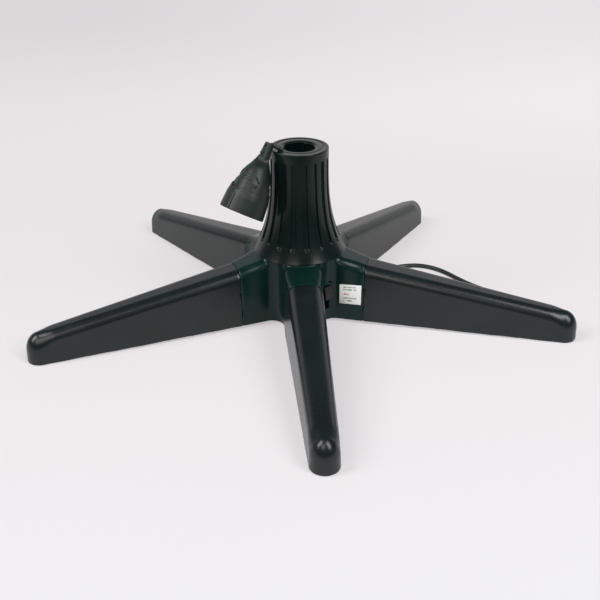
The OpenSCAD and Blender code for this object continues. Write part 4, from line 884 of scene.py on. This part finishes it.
def with_grips(body, x, y, d, outline):
    """Sinks a rippled panel into each side and raises a rib on the cup beside it."""
    radius = np.hypot(x, y)
    for turn in (0, -180):
        out, side = in_direction(x, y, PANEL_A + turn)
        ripple = np.maximum(RIPPLE * np.cos((d - 46) * math.tau / RIPPLE_PITCH), 0)
        ripple = ripple * np.clip(RIPPLE_HALF_W - np.abs(side), 0, 1)
        sunk = PANEL_FLOOR + PANEL_SLOPE * np.clip((d - 34) / 20, 0, 1)
        cut = np.maximum(panel_region(d, side), outline - sunk + ripple - radius)
        body = less(body, np.maximum(cut, -out), 0.3)
        out, side = in_direction(x, y, RIB_A + turn)
        bar = np.maximum(np.abs(side) - RIB_W / 2, span(d, RIB_FROM, OUTLET_L - 0.8))
        rib = both(bar, radius - outline - RIB_PROUD, 0.3)
        body = either(body, np.maximum(rib, -out), 0.25)
    return body


def socket_body(x, y, z):
    d = -z
    radius = np.hypot(x, y)
    outline = np.interp(d, fine_d, fine_r)
    body = with_grips(socket_web(x, y, d, outline), x, y, d, outline)
    body = less(body, np.maximum(radius - RECESS_R, OUTLET_L - RECESS_D - d), 0.4)
    body = less(body, np.maximum(radius - INSERT_R, OUTLET_L - RECESS_D - INSERT_T - d))
    body = less(body, np.maximum(radius - CORE_R, OUTLET_L - RECESS_D - CORE_L - d))
    out, side = in_direction(x, y, GROOVE_A)
    return less(body, np.maximum(box2(side, np.abs(out) - 18.5, 2.2, 1.7),
                                 span(d, OUTLET_L - GROOVE_FROM, OUTLET_L - GROOVE_TO)))


def tip_over(points):
    """Turns upright socket points into the slant that the photograph shows."""
    slant = rotation(OUTLET_TURN, "Z") @ rotation(OUTLET_TIP, "Y")
    return points @ np.array(slant.to_3x3()).T + OUTLET_AT


socket = carved_piece("trailing_socket", socket_body, SOCKET_LOW, SOCKET_HIGH, SOCKET_CELL,
                      "rotor", "outlet_rubber", tip_over)
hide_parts("outlet_body")

# %% [markdown]
# ## Lead
# The lead comes up through the flange, over one low arch and down into the socket's neck. It is held at both
# ends by the stand, so it is a plain part of it and not a free cord.

# %% Lead
LEAD_A, LEAD_AT_R, LEAD_D = 210.5, 21.9, 4.8
root = LEAD_AT_R * turned(LEAD_A)
neck = np.array(OUTLET_AT)
lead_route = [root + [0, 0, 82.2], root + [0, 0, 116.9], root + [0, 0, 151.9]]
lead_route += [root + [x, y, COLLAR_TOP_Z + z] for x, y, z in (
    (0, 0, -3), (-0.7, 0, 0.4), (-3.0, 0, 2.6), (-6.2, -0.1, 4.5), (-9.4, -0.2, 5.7))]
lead_route += [neck - [1.3, 1, 3], neck - [3.3, 2.5, 7]]
lead = tube_curve("socket_lead", smooth_route(lead_route, 6), LEAD_D)
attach(lead, "rotor")
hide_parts("outlet_lead")
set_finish(lead, "cord_jacket")
print("lead points", len(lead_route))

# %% [markdown]
# ## Rating label
# The white sticker on the right stub keeps its place, size and rounded corners. Its words stay off the
# model, and its finish draws rows of plain marks instead.

# %% Rating label
LABEL_CORNER_R = 0.5
LABEL_LAYERS = ((0, 1), (0.12, 1), (0.16, 0.997))


def rounded_corners(width, height, corner, steps=5):
    """Outline of a rounded rectangle, as points round its middle."""
    outline = []
    for number, (sx, sy) in enumerate(((1, 1), (-1, 1), (-1, -1), (1, -1))):
        for k in range(steps + 1):
            a = math.radians(90 * (number + k / steps))
            outline.append((sx * (width / 2 - corner) + corner * math.cos(a),
                            sy * (height / 2 - corner) + corner * math.sin(a)))
    return outline


outline = rounded_corners(LABEL_W, LABEL_H, LABEL_CORNER_R)
middle_s, middle_z = LABEL_S + LABEL_W / 2, LABEL_Z + LABEL_H / 2
points = []
for proud, shrink in LABEL_LAYERS:
    for u, v in outline:
        s, z = middle_s + u * shrink, middle_z + v * shrink
        far = STUB_W / 2 - float(stub_lean(s, z)) + proud
        points.append(s * turned(RIGHT_A) + far * turned(RIGHT_A - 90) + [0, 0, z])
count = len(outline)
faces = [list(range(count))[::-1], list(range(2 * count, 3 * count))]
faces += [[layer * count + k, layer * count + (k + 1) % count, (layer + 1) * count + (k + 1) % count,
           (layer + 1) * count + k] for layer in (0, 1) for k in range(count)]
label = add_piece("rating_sticker", points, faces, "hub", "label", 60)
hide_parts("rating_label")
print("label corners", count)

# %% [markdown]
# ## Turned and moulded pieces with eased edges
# A real edge is never a perfect corner: it has a small radius that catches the light. A copy of each CAD
# node below is joined up, its flat areas are merged, and its sharp edges are bevelled by a few tenths of a
# millimetre. The sleeve's mouth, which guides the pole in, gets a wider rounding first.

# %% Eased copies
EASED_SHARP = 32
SLEEVE_MOUTH_R, MOUTH_EDGE_R = 18.0, 2.2


def eased(node, body, slot, width, name, mouth_r=0.0):
    """Copy of a CAD node with rounded edges, which stands for it; top edges within mouth_r get more."""
    shape = bmesh.new()
    shape.from_mesh(frame["nodes"][node].data)
    bmesh.ops.remove_doubles(shape, verts=shape.verts, dist=0.000001)
    bmesh.ops.dissolve_limit(shape, angle_limit=math.radians(1.5), verts=shape.verts, edges=shape.edges)
    top = max(v.co.z for v in shape.verts)
    mouth = [e for e in shape.edges
             if all(v.co.xy.length < mouth_r * MM and v.co.z > top - 0.1 * MM for v in e.verts)]
    bmesh.ops.bevel(shape, geom=mouth, offset=MOUTH_EDGE_R * MM, segments=6, profile=0.5, affect="EDGES")
    corners = [e for e in shape.edges
               if len(e.link_faces) == 2 and e.calc_face_angle(0) > math.radians(EASED_SHARP)]
    bmesh.ops.bevel(shape, geom=corners, offset=width * MM, segments=2, profile=0.5,
                    affect="EDGES", clamp_overlap=True)
    bmesh.ops.triangulate(shape, faces=shape.faces)
    mesh = bpy.data.meshes.new(name)
    shape.to_mesh(mesh)
    shape.free()
    piece = smooth_piece(name, mesh, body, slot, EASED_SHARP)
    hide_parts(node)
    return piece


EASED = (
    ("pole_sleeve", "rotor", "collar_plastic", 0.35, "sleeve"),
    ("switch_cap", "switch", "black_plastic", 0.5, "switch_slider"),
    ("plug_body", "hub", "plug_plastic", 0.3, "plug"),
    ("cord_relief", "hub", "black_plastic", 0.2, "relief"),
    ("base_plate", "hub", "plate_plastic", 0.25, "cover_plate"),
    ("outlet_insert", "rotor", "outlet_rubber", 0.2, "socket_insert"))
for node, body, slot, width, name in EASED:
    piece = eased(node, body, slot, width, name, SLEEVE_MOUTH_R if name == "sleeve" else 0)
    print(name, len(piece.data.polygons), "faces")
for side in LEG_SIDES:
    eased("pad_" + side, side + "_leg", "pad_rubber", 0.5, "foot_" + side)
print("feet", len(LEG_SIDES))

# %% [markdown]
# ## Finishes on every piece
# The record names a material slot for each CAD node. New pieces carry their slot too, so one loop dresses
# everything, and nothing keeps a plain colour.

# %% Dress the pieces
slot_of_node = {part["node"]: part["material_slot"] for part in frame["record"]["subparts"]}
dressed = 0
for piece in [o for o in bpy.context.scene.objects if o.type in ("MESH", "CURVE")]:
    slot = piece.get("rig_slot") or slot_of_node.get(piece.name)
    piece.data.materials.clear()
    piece.data.materials.append(finishes[slot])
    dressed += 1
print("dressed", dressed, "pieces")


# %% [markdown]
# ## Floor and light
# The photograph is a product shot: a pale paper sweep, one tall softbox at the left, one at the right
# front, a weak warm source in front, and a dark room beyond the paper's front edge. Dark glossy plastic
# is read by what it mirrors, so the places of paper, boxes and dark room matter more than their strength.
# The paper is brighter than its lamps make it. It glows for camera and mirror rays only, which whitens the
# picture and the reflections, but adds no light to the stand. Near the legs the glow is weaker, but it still
# paints light over their shadow, which shows at about half its depth. The glow's colour holds painted light
# and shade, and mirror rays see a painted dark room in front of the paper's edge. From behind, the wall is
# see-through, so that rear views show the stand. Places here are in metres.

# %% Sweep
FLOOR_FRONT_Y, BEND_Y, BEND_R, WALL_TOP_Z, SWEEP_HALF_W = -4.0, 2.2, 1.2, 2.6, 6.0
DARK_FROM_Y, DARK_TO_Y = -0.36, -0.52
GLOW_OVER_SHADOW = 0.55

bend = [(BEND_Y + BEND_R * math.sin(a), BEND_R * (1 - math.cos(a)))
        for a in np.linspace(0, math.pi / 2, 16)]
profile = [(FLOOR_FRONT_Y, 0.0), *bend, (BEND_Y + BEND_R, WALL_TOP_Z)]
points = [(x, y, z) for y, z in profile for x in (-SWEEP_HALF_W, SWEEP_HALF_W)]
faces = [(2 * k, 2 * k + 1, 2 * k + 3, 2 * k + 2) for k in range(len(profile) - 1)]
mesh = bpy.data.meshes.new("sweep")
mesh.from_pydata(points, [], faces)
mesh.shade_smooth()
sweep = new_object("sweep", mesh)
print("sweep", len(points), "points")

# %% Sweep paper
tree, shader, place = new_finish("sweep_paper")
across, back = [add_node(tree, "ShaderNodeSeparateXYZ", {0: place}, output=i) for i in (0, 1)]
camera_ray, mirror_ray = [
    add_node(tree, "ShaderNodeLightPath", output=ray) for ray in ("Is Camera Ray", "Is Glossy Ray")]
paper = mix(tree, noise(place, 3, 3), (0.80, 0.785, 0.795), (0.83, 0.815, 0.825))
feed(shader, Base_Color=paper, Roughness=0.75)

# Colour of the glow, which holds painted light and shade: painted shade makes it darker and warmer in the
# middle round the stand, and a painted fall-off of light makes it greyer at the back, darker at the left and
# paler at the right.
tone = mix(tree, back.step(-0.5, 0.1), (0.91, 0.905, 0.93), (0.89, 0.85, 0.865))
tone = mix(tree, back.step(0.3, 1.8), tone, (0.745, 0.725, 0.74))
tone = mix(tree, across.step(-0.6, 0.8), mix(tree, 0.06, tone, (0, 0, 0)), mix(tree, 0.15, tone, (1, 1, 1)))
# In front of the paper's edge, mirror rays see the paper near black: a painted reflection of the dark room.
# Camera rays still see paper there.
on_paper = back.step(DARK_TO_Y, DARK_FROM_Y)
tone = mix(tree, mirror_ray * (1 - on_paper), tone, (0.02, 0.02, 0.02))
glow = add_node(tree, "ShaderNodeEmission", {"Color": tone})
# Near the stand only part of the paper glows, and that glow paints light over the stand's shadow, which
# shows at about half its depth.
near = GLOW_OVER_SHADOW + back.step(0.1, 0.9) * (1 - GLOW_OVER_SHADOW)
share = camera_ray * near + mirror_ray * (1 - (1 - near) * on_paper)
lit = add_node(tree, "ShaderNodeMixShader", {0: share, 1: Wire(tree, shader.outputs[0]), 2: glow})
behind = add_node(tree, "ShaderNodeNewGeometry", output="Backfacing")
clear = add_node(tree, "ShaderNodeBsdfTransparent")
seen = add_node(tree, "ShaderNodeMixShader", {0: behind * camera_ray, 1: lit, 2: clear})
plug_in(tree.nodes["Material Output"].inputs[0], seen)
sweep.data.materials.append(finishes["sweep_paper"])
print("sweep paper ready")

# %% Lights
LAMPS_AIM = (0, 0, 0.05)
LAMPS = (
    ("softbox_right", (1.60, -1.65, 2.45), (1.2, 2.2), 62, (1, 1, 1)),
    ("softbox_left", (-2.25, -0.60, 2.45), (1.2, 2.2), 62, (1, 1, 1)),
    ("bounce_front", (-0.95, -2.45, 2.6), (1.5, 1.7), 26, (1.0, 0.95, 0.88)))
AIR_GLOW, AIR_SEEN = 0.12, 0.80

for name, at, size, power, colour in LAMPS:
    lamp = bpy.data.lights.new(name, "AREA")
    lamp.shape = "RECTANGLE"
    lamp.size, lamp.size_y = size
    lamp.energy = power
    lamp.color = colour
    holder = new_object(name, lamp)
    holder.location = at
    holder.rotation_euler = (Vector(LAMPS_AIM) - Vector(at)).to_track_quat("-Z", "Y").to_euler()
world = bpy.data.worlds.new("studio")
world.use_nodes = True
air = world.node_tree.nodes["Background"]
air.inputs["Color"].default_value = (0.95, 0.95, 1.0, 1)
to_camera = add_node(world.node_tree, "ShaderNodeLightPath", output="Is Camera Ray")
strength = to_camera * (AIR_SEEN - AIR_GLOW) + AIR_GLOW
plug_in(air.inputs["Strength"], strength)
bpy.context.scene.world = world
bpy.context.scene.view_settings.view_transform = "Standard"
print("lights ready")
